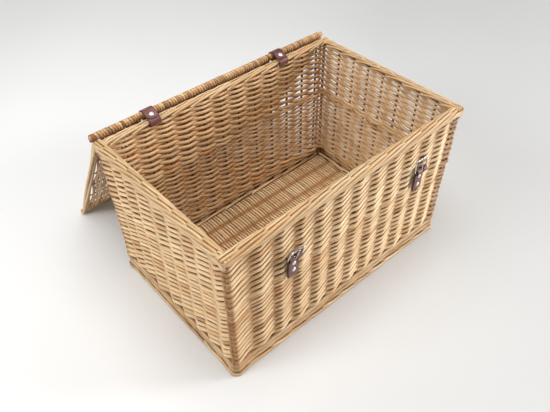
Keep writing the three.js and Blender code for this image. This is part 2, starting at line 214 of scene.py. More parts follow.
class Rods:
    """Collects closed tubes into one mesh, with a tidy strip for each."""

    def __init__(self):
        self.v, self.loops, self.starts, self.flat = [], [], [], []
        self.rod, self.tone, self.hue, self.shade_paint = [], [], [], []
        self.strips = []
        self.nv = 0
        self.nl = 0

    def add(self, pts, rad, nrm=None, sides=8, flat=(1.0, 1.0), tone=0.5, hue=0.5, seed=None, along0=0.0, taper=(True, True),
            depth=None, reach=(-2.5, 4.5), groove=(0.35, 0.75), turn=0.0, shade=0.0, shade_in=1.0, inner=0.0, gpow=3.0):
        """depth: offset of the path from the middle of the weave along nrm; what lies behind the middle gets painted
        shade.
        groove: painted shade where the tube meets its neighbours above and below; turn=1 moves that to the sides.
        shade: painted shade along the tube, all round, or on its outer half when shade_in is 0; inner: painted shade on
        its inner half."""
        pts = np.asarray(pts, float)
        n = len(pts)
        dep = None if depth is None else np.broadcast_to(np.asarray(depth, float), (n,))
        trn = np.broadcast_to(np.asarray(turn, float), (n,))
        shd = np.broadcast_to(np.asarray(shade, float), (n,))
        rad = np.broadcast_to(np.asarray(rad, float), (n,)).copy()
        t = np.gradient(pts, axis=0)
        t /= np.maximum(np.linalg.norm(t, axis=1, keepdims=True), 1e-9)
        if nrm is None:
            nn = transport(pts)
        else:
            nn = np.asarray(nrm, float)
            nn = nn - t * np.sum(nn * t, axis=1, keepdims=True)
            nn /= np.maximum(np.linalg.norm(nn, axis=1, keepdims=True), 1e-9)
        # rounded cut ends
        for end, use in ((0, taper[0]), (-1, taper[1])):
            if not use:
                continue
            p, r, d, m = pts[end], rad[end], t[end] * (-1 if end == 0 else 1), nn[end]
            extra = np.array([p + d * 0.45 * r, p + d * 0.6 * r])
            er = np.array([0.86 * r, 0.55 * r])
            if end == 0:
                pts = np.vstack([extra[::-1], pts]); rad = np.concatenate([er[::-1], rad])
                t = np.vstack([t[:1], t[:1], t]); nn = np.vstack([m, m, nn])
                trn = np.concatenate([trn[:1], trn[:1], trn])
                shd = np.concatenate([shd[:1], shd[:1], shd])
                dep = None if dep is None else np.concatenate([dep[:1], dep[:1], dep])
            else:
                pts = np.vstack([pts, extra]); rad = np.concatenate([rad, er])
                t = np.vstack([t, t[-1:], t[-1:]]); nn = np.vstack([nn, m, m])
                trn = np.concatenate([trn, trn[-1:], trn[-1:]])
                shd = np.concatenate([shd, shd[-1:], shd[-1:]])
                dep = None if dep is None else np.concatenate([dep, dep[-1:], dep[-1:]])
        n = len(pts)
        bb = np.cross(t, nn)
        th = np.arange(sides) * 2 * math.pi / sides
        ring = (pts[:, None, :]
                + (rad * flat[0])[:, None, None] * np.cos(th)[None, :, None] * nn[:, None, :]
                + (rad * flat[1])[:, None, None] * np.sin(th)[None, :, None] * bb[:, None, :])
        v = ring.reshape(-1, 3)
        i = np.arange(n - 1)[:, None] * sides
        j = np.arange(sides)[None, :]
        k = (j + 1) % sides
        quads = np.stack([i + j, i + k, i + sides + k, i + sides + j], axis=-1).reshape(-1, 4) + self.nv
        caps = [np.arange(sides)[::-1] + self.nv, np.arange(sides) + (n - 1) * sides + self.nv]
        self.loops.append(quads.ravel())
        self.starts.append(self.nl + np.arange(len(quads)) * 4)
        self.nl += quads.size
        self.flat.append(np.zeros(len(quads), bool))
        for c in caps:
            self.loops.append(c)
            self.starts.append(np.array([self.nl]))
            self.nl += len(c)
            self.flat.append(np.ones(1, bool))
        ln = np.concatenate([[0], np.cumsum(np.linalg.norm(np.diff(pts, axis=0), axis=1))]) * 0.001 + along0
        sd = rng.random() if seed is None else seed
        a = np.zeros((n, sides, 3))
        a[..., 0] = ln[:, None]
        a[..., 1] = (np.arange(sides) / sides)[None, :]
        a[..., 2] = sd * 40
        self.rod.append(a.reshape(-1, 3))
        self.tone.append(np.full(len(v), tone))
        self.hue.append(np.full(len(v), hue))
        # painted shade, stored per vertex for the material: grooves between rods, the shade and inner terms, and what
        # lies behind the weave
        c_, s_ = np.cos(th)[None, :], np.sin(th)[None, :]
        k_ = trn[:, None]
        edge = np.where(s_ > 0, groove[1], groove[0]) * np.abs(s_) ** gpow * (1 - k_) + groove[1] * np.abs(c_) ** gpow * k_
        shade_paint = np.clip(edge + shd[:, None] * np.clip(0.5 + 2.0 * c_, shade_in, 1), 0, 1.25)
        shade_paint = 1 - (1 - shade_paint) * (1 - inner * np.clip(0.5 - 2.0 * c_, 0, 1))
        if dep is not None:
            out_ = (dep[:, None] + (rad * flat[0])[:, None] * c_) * np.sign(c_)
            x_ = np.clip((out_ - reach[0]) / (reach[1] - reach[0]), 0, 1)
            back = 0.86 * (1 - x_ * x_ * (3 - 2 * x_)) * np.clip(np.abs(c_) * 2.5, 0, 1)
            shade_paint = 1 - (1 - shade_paint) * (1 - back)
        self.shade_paint.append(np.broadcast_to(np.clip(0.8 * shade_paint, 0, 1), (n, sides)).ravel())
        self.strips.append((n, sides))
        self.v.append(v)
        self.nv += len(v)
        return along0 + ln[-1] - along0

    def obj(self, name, mat):
        v = np.vstack(self.v) * 0.001
        loops = np.concatenate(self.loops).astype(np.int32)
        starts = np.concatenate(self.starts).astype(np.int32)
        flat = np.concatenate(self.flat)
        me = bpy.data.meshes.new(name)
        me.vertices.add(len(v))
        me.vertices.foreach_set("co", v.astype(np.float32).ravel())
        me.loops.add(len(loops))
        me.polygons.add(len(starts))
        me.polygons.foreach_set("loop_start", starts)
        me.polygons.foreach_set("vertices", loops)
        me.polygons.foreach_set("use_smooth", ~flat)
        # one strip of the unit square for each tube
        uv = np.zeros((len(loops), 2), np.float32)
        cnt = len(self.strips)
        cols = max(1, int(round(math.sqrt(cnt / 14))))
        rows = -(-cnt // cols)
        at = 0
        for idx, (n, s) in enumerate(self.strips):
            c, r = idx % cols, idx // cols
            i = np.repeat(np.arange(n - 1), s)
            j = np.tile(np.arange(s), n - 1)
            uu = np.stack([i, i, i + 1, i + 1], -1) / (n - 1)
            vv = np.stack([j, j + 1, j + 1, j], -1) / s
            k = (n - 1) * s * 4
            uv[at:at + k, 0] = ((c + 0.01 + 0.955 * uu) / cols).ravel()
            uv[at:at + k, 1] = ((r + 0.05 + 0.9 * vv) / rows).ravel()
            at += k
            for e in range(2):
                th = np.arange(s) * 2 * math.pi / s * (-1 if e == 0 else 1)
                uv[at:at + s, 0] = (c + 0.982 + 0.007 * np.cos(th)) / cols
                uv[at:at + s, 1] = (r + 0.3 + 0.4 * e + 0.15 * np.sin(th)) / rows
                at += s
        me.uv_layers.new(name="OFBake").data.foreach_set("uv", uv.ravel())
        for nm, kind, arr in (("rod", "FLOAT_VECTOR", np.vstack(self.rod)),
                              ("tone", "FLOAT", np.concatenate(self.tone)),
                              ("hue", "FLOAT", np.concatenate(self.hue)),
                              ("painted_shade", "FLOAT", np.concatenate(self.shade_paint))):
            at_ = me.attributes.new(nm, kind, "POINT")
            at_.data.foreach_set("vector" if kind == "FLOAT_VECTOR" else "value", arr.astype(np.float32).ravel())
        me.update(calc_edges=True)
        me.validate()
        ob = bpy.data.objects.new(name, me)
        bpy.context.scene.collection.objects.link(ob)
        me.materials.append(mat)
        return ob


# painted shade on the inner faces of each wall's rods
INNER_SHADE = {"front": 0.15, "right": 0.35, "back": 0.2, "left": 0.2}
WARM_BOUNCE = {"front": 0.0, "right": 0.25, "back": 0.75, "left": 0.0}      # a redder tint on the rods of the right and back walls, painted for reddish light bounced inside the basket


class Sided:
    """Rods that run round the trunk, shared out by wall and cut at the corner posts."""

    def __init__(self):
        self.part = {w: Rods() for w in WALLS}

    def path(self, fn, u0, u1, rad, per=10, sides=8, flat=(1, 1), tone=0.5, hue=0.5, ends=(True, True), shade=None, warm_bounce=False, **kw):
        """fn(u) -> q, z ; rad(u) -> radius ; shade(u) -> painted shade, 0..1"""
        seed = rng.random()
        along = 0.0
        for turn in range(-1, 3):
            for w in WALLS:
                a, b = WALL_U[w][0] + N_STAKES * turn, WALL_U[w][1] + N_STAKES * turn
                s, e = max(u0, a), min(u1, b)
                if e - s < 1e-6:
                    continue
                cs, ce = s > u0 + 1e-9, e < u1 - 1e-9
                n = max(4, int(math.ceil((e - s) * per)) + 1)
                u = np.linspace(s, e, n)
                more = np.concatenate([at_corner(w) + N_STAKES * turn, np.arange(math.ceil(s), math.floor(e) + 1)])
                more = more[(more > s) & (more < e)]
                more = more[np.min(np.abs(more[:, None] - u[None, :]), axis=1) > 0.012] if len(more) else more
                u = np.sort(np.concatenate([u, more]))
                q, z = fn(u)
                eps = 1e-7
                uu = np.clip(u, s + eps, e - eps)
                # depth paints shade on what lies behind the middle of the weave, eased off near the corners
                self.part[w].add(on_wall(uu, q, z), rad(u), wall_normal(uu, q, z), sides, flat, tone, hue + (WARM_BOUNCE[w] if warm_bounce else 0), seed, along,
                                 (ends[0] and not cs, ends[1] and not ce), depth=q * smooth(corner_mm(uu), 6.0, 24.0), shade=0.0 if shade is None else shade(u), inner=INNER_SHADE[w], **kw)
                along += (e - s) * 0.048


# ---------------------------------------------------------------- materials
def nodes_of(name):
    m = bpy.data.materials.new(name)
    m.use_nodes = True
    nt = m.node_tree
    b = next(n for n in nt.nodes if n.type == "BSDF_PRINCIPLED")
    return m, nt, b


def ramp(nt, stops, fac=None, interp="LINEAR"):
    r = nt.nodes.new("ShaderNodeValToRGB")
    r.color_ramp.interpolation = interp
    el = r.color_ramp.elements
    while len(el) < len(stops):
        el.new(0.5)
    for e, (p, c) in zip(el, stops):
        e.position = p
        e.color = (*c, 1) if len(c) == 3 else c
    if fac is not None:
        nt.links.new(fac, r.inputs["Fac"])
    return r


def math_node(nt, op, a, b=None, c=None, clamp=False):
    n = nt.nodes.new("ShaderNodeMath")
    n.operation = op
    n.use_clamp = clamp
    for i, x in enumerate((a, b, c)):
        if x is None:
            continue
        if isinstance(x, (int, float)):
            n.inputs[i].default_value = x
        else:
            nt.links.new(x, n.inputs[i])
    return n.outputs[0]


def mix(nt, fac, a, b, mode="MIX"):
    n = nt.nodes.new("ShaderNodeMix")
    n.data_type = "RGBA"
    n.blend_type = mode
    for sock, x in ((n.inputs["Factor"], fac), (n.inputs["A"], a), (n.inputs["B"], b)):
        pass
    ins = [s for s in n.inputs if s.enabled]
    for sock, x in zip((ins[0], [s for s in ins if s.name == "A"][0], [s for s in ins if s.name == "B"][0]), (fac, a, b)):
        if isinstance(x, (int, float)):
            sock.default_value = x
        elif isinstance(x, tuple):
            sock.default_value = (*x, 1) if len(x) == 3 else x
        else:
            nt.links.new(x, sock)
    return [s for s in n.outputs if s.enabled][0]


def srgb(r, g, b):
    def f(c):
        c /= 255.0
        return c / 12.92 if c <= 0.04045 else ((c + 0.055) / 1.055) ** 2.4
    return (f(r), f(g), f(b))


def noise(nt, vec, scale, detail=2.0, rough=0.5, dist=0.0):
    n = nt.nodes.new("ShaderNodeTexNoise")
    n.inputs["Scale"].default_value = scale
    n.inputs["Detail"].default_value = detail
    n.inputs["Roughness"].default_value = rough
    n.inputs["Distortion"].default_value = dist
    nt.links.new(vec, n.inputs["Vector"])
    return n.outputs["Fac"]


def stretched(nt, sock, sx, sy, sz):
    n = nt.nodes.new("ShaderNodeVectorMath")
    n.operation = "MULTIPLY"
    nt.links.new(sock, n.inputs[0])
    n.inputs[1].default_value = (sx, sy, sz)
    return n.outputs[0]


def willow(name, pale, mid, deep, rough=0.46, bump=0.25):
    m, nt, b = nodes_of(name)
    def attr(nm, out):
        a = nt.nodes.new("ShaderNodeAttribute")
        a.attribute_type = "GEOMETRY"
        a.attribute_name = nm
        return a.outputs[out]
    rod, tone, hue, shade_paint = attr("rod", "Vector"), attr("tone", "Fac"), attr("hue", "Fac"), attr("painted_shade", "Fac")
    # long patches, streaks along the rod, and fine flecks
    patch = noise(nt, stretched(nt, rod, 22, 0.6, 1), 1.0, 3, 0.55)
    streak = noise(nt, stretched(nt, rod, 60, 9, 1), 1.0, 4, 0.6)
    fleck = noise(nt, stretched(nt, rod, 420, 14, 1), 1.0, 2, 0.5)
    t = math_node(nt, "MULTIPLY_ADD", patch, 0.75, math_node(nt, "SUBTRACT", tone, 0.37))
    t = math_node(nt, "ADD", t, math_node(nt, "MULTIPLY_ADD", streak, 0.36, -0.18), clamp=True)
    base = ramp(nt, [(0.0, pale), (0.48, mid), (1.0, deep)], t).outputs["Color"]
    reddish = mix(nt, math_node(nt, "MULTIPLY", hue, 0.55), base, mix(nt, 1.0, base, (1.0, 0.80, 0.62), "MULTIPLY"))
    dark = ramp(nt, [(0.60, (0, 0, 0)), (0.80, (1, 1, 1))], fleck).outputs["Color"]
    dk = math_node(nt, "MULTIPLY", dark, 0.22)
    col = mix(nt, dk, reddish, deep)
    # the attribute's painted shade darkens the colour toward a deep brown
    col = mix(nt, math_node(nt, "MULTIPLY", shade_paint, 0.92), col, mix(nt, 1.0, col, (0.36, 0.21, 0.09), "MULTIPLY"))
    nt.links.new(col, b.inputs["Base Color"])
    r = math_node(nt, "MULTIPLY_ADD", streak, 0.22, rough - 0.11)
    nt.links.new(r, b.inputs["Roughness"])
    b.inputs["Specular IOR Level"].default_value = 0.42
    grain = noise(nt, stretched(nt, rod, 90, 22, 1), 1.0, 3, 0.6)
    bp = nt.nodes.new("ShaderNodeBump")
    bp.inputs["Strength"].default_value = bump
    bp.inputs["Distance"].default_value = 0.0006
    nt.links.new(grain, bp.inputs["Height"])
    nt.links.new(bp.outputs["Normal"], b.inputs["Normal"])
    return m


M_WEAVE = willow("willow_weave", srgb(239, 216, 178), srgb(221, 190, 145), srgb(174, 129, 85))
M_STAKE = willow("willow_stake", srgb(206, 172, 126), srgb(182, 143, 98), srgb(138, 98, 62))
M_BORDER = willow("willow_rim", srgb(216, 190, 151), srgb(198, 167, 124), srgb(160, 119, 77), rough=0.46)
M_WRAP = willow("willow_wrap", srgb(218, 190, 146), srgb(192, 155, 108), srgb(140, 97, 60), rough=0.46)


def leather_material():
    m, nt, b = nodes_of("strap_leather")
    tc = nt.nodes.new("ShaderNodeTexCoord").outputs["Object"]
    big = noise(nt, tc, 55, 3, 0.6)
    fine = noise(nt, tc, 900, 2, 0.6)
    vor = nt.nodes.new("ShaderNodeTexVoronoi")
    vor.feature = "DISTANCE_TO_EDGE"
    vor.inputs["Scale"].default_value = 620
    nt.links.new(tc, vor.inputs["Vector"])
    edge = nt.nodes.new("ShaderNodeAttribute")
    edge.attribute_type = "GEOMETRY"
    edge.attribute_name = "edge"
    c = ramp(nt, [(0.30, srgb(84, 45, 41)), (0.55, srgb(112, 67, 62)), (0.78, srgb(138, 95, 89))], big).outputs["Color"]
    c = mix(nt, math_node(nt, "MULTIPLY", fine, 0.3), c, srgb(66, 36, 33))
    c = mix(nt, math_node(nt, "MULTIPLY", edge.outputs["Fac"], 0.7), c, srgb(52, 28, 25))
    nt.links.new(c, b.inputs["Base Color"])
    nt.links.new(math_node(nt, "MULTIPLY_ADD", big, 0.22, 0.32), b.inputs["Roughness"])
    b.inputs["Specular IOR Level"].default_value = 0.5
    h = math_node(nt, "MULTIPLY_ADD", math_node(nt, "MINIMUM", vor.outputs["Distance"], 0.25), 2.4, math_node(nt, "MULTIPLY", fine, 0.5))
    bp = nt.nodes.new("ShaderNodeBump")
    bp.inputs["Strength"].default_value = 0.35
    bp.inputs["Distance"].default_value = 0.0005
    nt.links.new(h, bp.inputs["Height"])
    nt.links.new(bp.outputs["Normal"], b.inputs["Normal"])
    return m


def metal_material():
    m, nt, b = nodes_of("bright_steel")
    tc = nt.nodes.new("ShaderNodeTexCoord").outputs["Object"]
    n1 = noise(nt, tc, 260, 3, 0.6)
    n2 = noise(nt, tc, 1400, 2, 0.5)
    c = ramp(nt, [(0.35, srgb(176, 174, 172)), (0.6, srgb(226, 225, 224))], n1).outputs["Color"]
    nt.links.new(c, b.inputs["Base Color"])
    b.inputs["Metallic"].default_value = 1.0
    nt.links.new(math_node(nt, "MULTIPLY_ADD", n2, 0.16, 0.14), b.inputs["Roughness"])
    return m


def rivet_material():
    m, nt, b = nodes_of("satin_rivet")
    tc = nt.nodes.new("ShaderNodeTexCoord").outputs["Object"]
    n1 = noise(nt, tc, 700, 3, 0.6)
    c = ramp(nt, [(0.35, srgb(214, 208, 200)), (0.65, srgb(238, 234, 228))], n1).outputs["Color"]
    nt.links.new(c, b.inputs["Base Color"])
    b.inputs["Metallic"].default_value = 0.7
    nt.links.new(math_node(nt, "MULTIPLY_ADD", n1, 0.2, 0.34), b.inputs["Roughness"])
    return m


M_LEATHER = leather_material()
M_RIVET = rivet_material()
M_METAL = metal_material()


# ---------------------------------------------------------------- pieces: attached to their bodies, hiding the CAD parts they stand for
def piece(ob, body, slot, *nodes):
    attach(ob, body)
    if nodes:
        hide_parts(*nodes)
    return ob


# ---------------------------------------------------------------- wall weave
TIERS = (
    dict(z0=40.4, n=13, pb=15.6, pt=9.6, db=8.1, dt=5.3),
    dict(z0=204.0, n=10, pb=15.2, pt=10.2, db=7.9, dt=5.4),
)
STAKE_R = 2.6


def swing(m):
    """Side of the stakes a rod is on: 1 outside at even m, -1 inside at odd; it comes out later than it goes in."""
    def raw(v):
        x = np.mod(v, 2.0)
        g = np.clip((x - 1.15) / 0.85, 0, 1)
        return np.where(x < 1, 1 - 2 * x, -1 + 2 * g ** 1.25)
    return 0.25 * raw(m - 0.04) + 0.5 * raw(m) + 0.25 * raw(m + 0.04)


FLAT = (0.84, 1.17)


def slim(u):
    """Rods lie a little looser toward the right end of the back and on the right."""
    um = np.mod(np.asarray(u, float), N_STAKES)
    a, b = WALL_U["right"][0], WALL_U["back"][0]
    return 1 - 0.05 * smooth(um, a, a + 2) * (1 - smooth(um, b + 3, b + 6)) - 0.05 * smooth(um, b - 1, b + 1) * (1 - smooth(um, b + 3, b + 5))


weave = Sided()


# painted shade, full at the left end of the front wall up to the second stake and gone by the seventh
def front_left_shade(u):
    um = np.mod(np.asarray(u, float), N_STAKES)
    return np.where(um < WALL_U["front"][1], 1 - smooth(um, 2.0, 6.5), 0.0)


def emerge_shade(u):
    """Painted shade on the stretch where a rod comes out from behind a stake, heavier toward the left end of the front
    wall.
    """
    return 0.24 + 0.5 * front_left_shade(u)


for tier in TIERS:
    n = tier["n"]
    for k in range(N_STAKES):
        ph = rng.random(4) * 2 * math.pi
        jz = rng.normal(0, 0.35)
        fat = 1 + rng.normal(0, 0.05)
        tone = float(np.clip(rng.normal(0.38, 0.14), 0.0, 1.0))
        hue = float(rng.random() ** 2.2)

        def radius(u, k=k, tier=tier, fat=fat):
            f = np.clip((u - k) / (2 * tier["n"]), 0, 1)
            return 0.5 * fat * (tier["db"] + (tier["dt"] - tier["db"]) * f) * slim(u)

        def course(u, k=k, tier=tier, ph=ph, jz=jz, radius=radius):
            m = u - k
            tau = np.maximum(m / 2, -0.1)
            z = tier["z0"] + tier["pb"] * tau + (tier["pt"] - tier["pb"]) * tau ** 2 / (2 * tier["n"])
            z = z + jz + 0.4 * np.sin(2.1 * u + ph[0]) + 0.25 * np.sin(4.7 * u + ph[1])
            a = STAKE_R * 0.92 + FLAT[0] * radius(u) + 0.6
            q = a * swing(m) + 0.2 * np.sin(1.3 * u + ph[2])
            return q, z

        # painted shade: where a rod comes out from behind a stake, over the left end of the front wall, and heaviest
        # where rods turn a corner
        def dark(u, k=k):
            x = np.mod(u - k, 2.0)
            come = smooth(x, 1.25, 1.5) * (1 - smooth(x, 1.86, 1.98))
            turn = 1 - smooth(corner_mm(u), 5.0, 10.0)
            return np.maximum(np.maximum(emerge_shade(u) * come * (1 - turn), 0.17 * front_left_shade(u)), 1.2 * turn)

        weave.path(course, k - 1.3, k + 2 * n + 0.55, radius, per=11, sides=8, flat=FLAT, tone=tone, hue=hue, shade=dark, shade_in=0.0, warm_bounce=True)

stakes = Sided()
for i in range(N_STAKES):
    if i in CORNERS:
        continue
    w = next(x for x in WALLS if WALL_U[x][0] < i < WALL_U[x][1])
    z = np.linspace(9, HEIGHT - 14, 16)
    ph = rng.random(2) * 6
    u = i + 0.010 * np.sin(z / 60 + ph[0])
    q = 0.25 * np.sin(z / 45 + ph[1]) + 0 * z
    # shade=0.7 paints the stakes darker all round, for the shade they stand in behind the rods
    stakes.part[w].add(on_wall(u, q, z), STAKE_R * (1 + rng.normal(0, 0.03)), None, 8,
                       tone=float(np.clip(rng.normal(0.6, 0.15), 0, 1)), hue=float(rng.random() ** 2), groove=(0, 0), shade=0.7)
for w in WALLS:
    piece(weave.part[w].obj("weave_" + w, M_WEAVE), "trunk", "willow", "wall_" + w)
    piece(stakes.part[w].obj("stakes_" + w, M_STAKE), "trunk", "willow_stick")

for nm, i, sx, sy in (("front_left", 0, -1, -1), ("front_right", 1, 1, -1), ("back_right", 2, 1, 1), ("back_left", 3, -1, 1)):
    z = np.linspace(9, HEIGHT - 9, 18)
    p = np.stack([sx * (out_x(z) - HALF_T - 2.2), sy * (out_y(z) - HALF_T - 2.2), z], -1)
    r = Rods()
    # shade=0.55 paints the posts darker, for the shade they stand in between the rods that wrap them
    r.add(p, 3.4, None, 12, tone=0.5, hue=0.3, groove=(0, 0), shade=0.55)
    piece(r.obj("corner_post_" + nm, M_STAKE), "trunk", "willow_border", "post_" + nm)


# ---------------------------------------------------------------- upsett wale, foot border, rim
def outside_posts(u, q, a):
    d, _ = corner_offset(u)
    w = 1 - smooth(d, 0.3, 0.75)
    return q * (1 - w) + a * w


wale = Sided()
for row, z0 in enumerate((12.6, 25.9)):
    for i in range(N_STAKES):
        rr = 2.65 * (1 + rng.normal(0, 0.06))
        ph = rng.random() * 6
        first = i + row

        def course(u, first=first, z0=z0, rr=rr, ph=ph):
            t = u - first
            a = STAKE_R + 0.9 * rr
            q = -a + 2 * a * (smooth(t, -0.75, -0.05) - smooth(t, 2.05, 2.75))
            q = outside_posts(u, q, a)
            z = z0 + 5.3 * np.clip(t, 0, 2) + 3.0 * (1 - smooth(t, -0.8, 0.0)) - 2.6 * smooth(t, 2.0, 2.7) + 0.25 * np.sin(3 * u + ph)
            return q, z

        # painted shade where each rod dives behind a stake and where it starts, and through groove along the lines
        # between the rows
        wale.path(course, first - 1.85, first + 3.0, lambda u, rr=rr: np.full(np.shape(u), rr), per=12, sides=9, flat=(0.98, 1.0), groove=(0.9, 1.3), gpow=1.8, shade_in=0.0,
                  shade=lambda u, first=first: 0.95 * smooth(u - first, 1.45, 2.1) + 0.6 * (1 - smooth(u - first, -0.15, 0.35)),
                  tone=float(np.clip(rng.choice((0.0, 0.1, 0.5)) + rng.normal(0, 0.08), 0, 1)), hue=float(rng.random() ** 2))

foot = Sided()
for i in range(N_STAKES):
    rr = 3.3 * (1 + rng.normal(0, 0.03))
    ph = rng.random() * 6

    def course(u, i=i, rr=rr, ph=ph):
        t = u - i
        a = STAKE_R + rr + 1.4
        q = -2.0 + (a + 2.0) * smooth(t, 0.16, 0.5) - 2 * a * smooth(t, 2.05, 2.65) + 0.8 * smooth(t, 0.4, 0.8) - 1.0 * smooth(t, 1.0, 1.8)
        q = outside_posts(u, q, a)
        z = 10.4 - 1.3 * smooth(t, 0.1, 0.5) - 4.0 * smooth(t, 0.55, 1.05) - 1.7 * smooth(t, 1.0, 1.9) + 1.4 * smooth(t, 2.1, 2.6) + 0.15 * np.sin(3 * u + ph)
        return q, z

    # painted shade at the start and end of each rod, for the dark gap where the next rod comes out, and grooves between
    # rods
    foot.path(course, i + 0.12, i + 2.6, lambda u, rr=rr: np.full(np.shape(u), rr), per=12, sides=9,
              shade=lambda u, i=i: 0.9 * (1 - smooth(u - i, 0.3, 0.5)) + 0.9 * smooth(u - i, 2.0, 2.3), groove=(0.5, 0.85),
              tone=float(np.clip(rng.normal(0.4, 0.14), 0, 1)), hue=float(rng.random() ** 2))


def spline(t, xs, ys):
    """Smooth curve through the points (Catmull-Rom on an uneven grid)."""
    m = np.gradient(ys, xs)
    i = np.clip(np.searchsorted(xs, t) - 1, 0, len(xs) - 2)
    h = xs[i + 1] - xs[i]
    s = np.clip((t - xs[i]) / h, 0, 1)
    return ((2 * s ** 3 - 3 * s ** 2 + 1) * ys[i] + (s ** 3 - 2 * s ** 2 + s) * h * m[i]
            + (-2 * s ** 3 + 3 * s ** 2) * ys[i + 1] + (s ** 3 - s ** 2) * h * m[i + 1])


# the rim: each stake end comes up through the middle, bends over and runs along to the inner edge; beside it a second
# rod climbs the outer face and comes in to the next bend. Bays, outward offset, height under the rim top, side contact.
RIM_IN = np.array([
    (-0.04, 0.4, -11.0, 0), (0.02, 0.4, -4.6, 0), (0.09, 0.2, -2.75, 1), (0.5, -1.8, -2.7, 1), (1.00, -4.4, -2.95, 1), (1.5, -6.2, -3.9, 1),
    (1.9, -7.0, -5.8, 1), (2.35, -7.0, -9.6, 0)])
RIM_OUT = np.array([
    (-2.3, 6.8, -18.5, 0), (-1.5, 7.3, -14.0, 0), (-0.5, 7.4, -8.2, 0), (0.0, 6.5, -5.0, 0.5), (0.5, 4.4, -2.95, 1), (0.9, 2.9, -3.0, 1),
    (1.06, 2.3, -4.4, 1)])
rim = {w: Rods() for w in WALLS}
REACH = 0.165
for w in WALLS:
    u0, u1 = WALL_U[w]
    for table, lo, hi, rad in ((RIM_IN, u0 - 2, u1, 2.75), (RIM_OUT, u0 - 1, u1 + 3, 2.85)):
        for i in range(lo, hi):
            i = i + 0.32
            s_, e_ = max(i + table[0, 0], u0 - REACH), min(i + table[-1, 0], u1 + REACH)
            if e_ - s_ < 0.12:
                continue
            u = np.linspace(s_, e_, max(6, int((e_ - s_) * 15)))
            ph = rng.random() * 6
            q = spline(u - i, table[:, 0], table[:, 1]) + 0.15 * np.sin(2.3 * u + ph)
            z = HEIGHT - (1.0 if w == "front" else 0.5) + spline(u - i, table[:, 0], table[:, 2])
            # the ends of one side pass under the beginnings of the next
            z = z - 4.0 * smooth(u, u1 - 0.42, u1 + 0.02)
            pts = on_side(w, u, q, z)
            nr = on_side(w, u, q + 1, z) - on_side(w, u, q - 1, z)
            # groove and turn paint shade along the lines where the rods meet their neighbours
            rim[w].add(pts, rad * (1 + rng.normal(0, 0.025)), nr, 10,
                       tone=float(np.clip(rng.normal(0.3, 0.15), 0, 1)), hue=float(rng.random() ** 2.4),
                       turn=np.interp(u - i, table[:, 0], table[:, 3]), groove=(0.5, 1.05), gpow=2.2)
for w in WALLS:
    piece(wale.part[w].obj("upsett_" + w, M_BORDER), "trunk", "willow_border", "wale_" + w)
    piece(foot.part[w].obj("foot_border_" + w, M_BORDER), "trunk", "willow_border", "foot_" + w)
    piece(rim[w].obj("rim_border_" + w, M_BORDER), "trunk", "willow_border", "rim_" + w)


# ---------------------------------------------------------------- woven base
BASE_Z = 7.2
BASE_STEP = 45.5
base_x, base_y = out_x(0) - 14.0, out_y(0) - 13.6
sticks_y = (np.arange(8) - 3.5) * BASE_STEP
r = Rods()
for y in sticks_y:
    x = np.linspace(-base_x, base_x, 40)
    p = np.stack([x, y + 0.6 * np.sin(x / 90 + y), np.full_like(x, BASE_Z)], -1)
    # shade=0.6 paints the sticks darker, for the shade they lie in under the weavers
    r.add(p, 3.2, np.tile((0.0, 0.0, 1.0), (40, 1)), 8, flat=(0.42, 1.0),
          tone=float(rng.random() * 0.6 + 0.2), hue=float(rng.random()), groove=(0, 0), shade=0.6)
piece(r.obj("base_sticks", M_STAKE), "trunk", "willow_stick", *[f"base_stick_{i}" for i in range(1, 9)])
r = Rods()
pitch = 3.58
count = int(2 * (base_x + 1.0) / pitch)
for i in range(count):
    x = -pitch * (count - 1) / 2 + i * pitch + rng.normal(0, 0.28)
    y = np.linspace(-base_y + 0.5, base_y - 0.5, 60)
    if i % 2:
        y = y[::-1]
    ph = rng.random() * 6
    wave = np.cos(math.pi * (y / BASE_STEP + 3.5 + i)) * np.where(np.abs(y) > 165, 0.75, 1)
    lift = wave * np.where(wave > 0, 2.4, 0.9)
    xx = x + 0.3 * np.sin(y / 33 + ph) + rng.normal(0, 0.002) * y
    # painted shade on the low stretches where a rod passes under a stick and on what lies below the middle of the
    # weave; groove paints shade between rods
    r.add(np.stack([xx, y, BASE_Z + lift], -1), 2.4 * (1 + rng.normal(0, 0.06)), np.tile((0.0, 0.0, 1.0), (60, 1)), 7, flat=(0.88, 1.0), shade=1.7 * (1 - smooth(lift, -0.2, 1.5)),
          tone=float(np.clip(rng.normal(0.22, 0.2), 0, 1)), hue=float(rng.random() ** 1.3),
          depth=lift, reach=(-1.8, 2.6), groove=(0.8, 0.9))
# short rods laid round the edge, where the base meets the walls
for sx, sy in ((0, -1), (0, 1), (-1, 0), (1, 0)):
    ph = rng.random() * 6
    half = base_y - 3 if sx else base_x - 3
    at = -half
    k = 0
    while at < half - 30:
        end = min(half, at + 95 + 30 * rng.random())
        f = np.linspace(at, end, 20)
        t = (f - at) / (end - at)
        off = 3.4 - 4.0 * t + 0.7 * np.sin(f / 21 + ph)
        z = 13.2 + 3.6 * np.sin(math.pi * t) * (0.6 + 0.4 * (k % 2)) + 0.5 * np.sin(f / 17 + ph)
        if sx:
            e = np.stack([sx * (base_x - off), f, z], -1)
        else:
            e = np.stack([f, sy * (base_y - off), z], -1)
        r.add(e, 2.7, None, 8, tone=float(np.clip(rng.normal(0.45, 0.15), 0, 1)), hue=float(rng.random() ** 1.3))
        at = end - 22
        k += 1
piece(r.obj("base_weave_rods", M_WEAVE), "trunk", "willow", "base_weave")


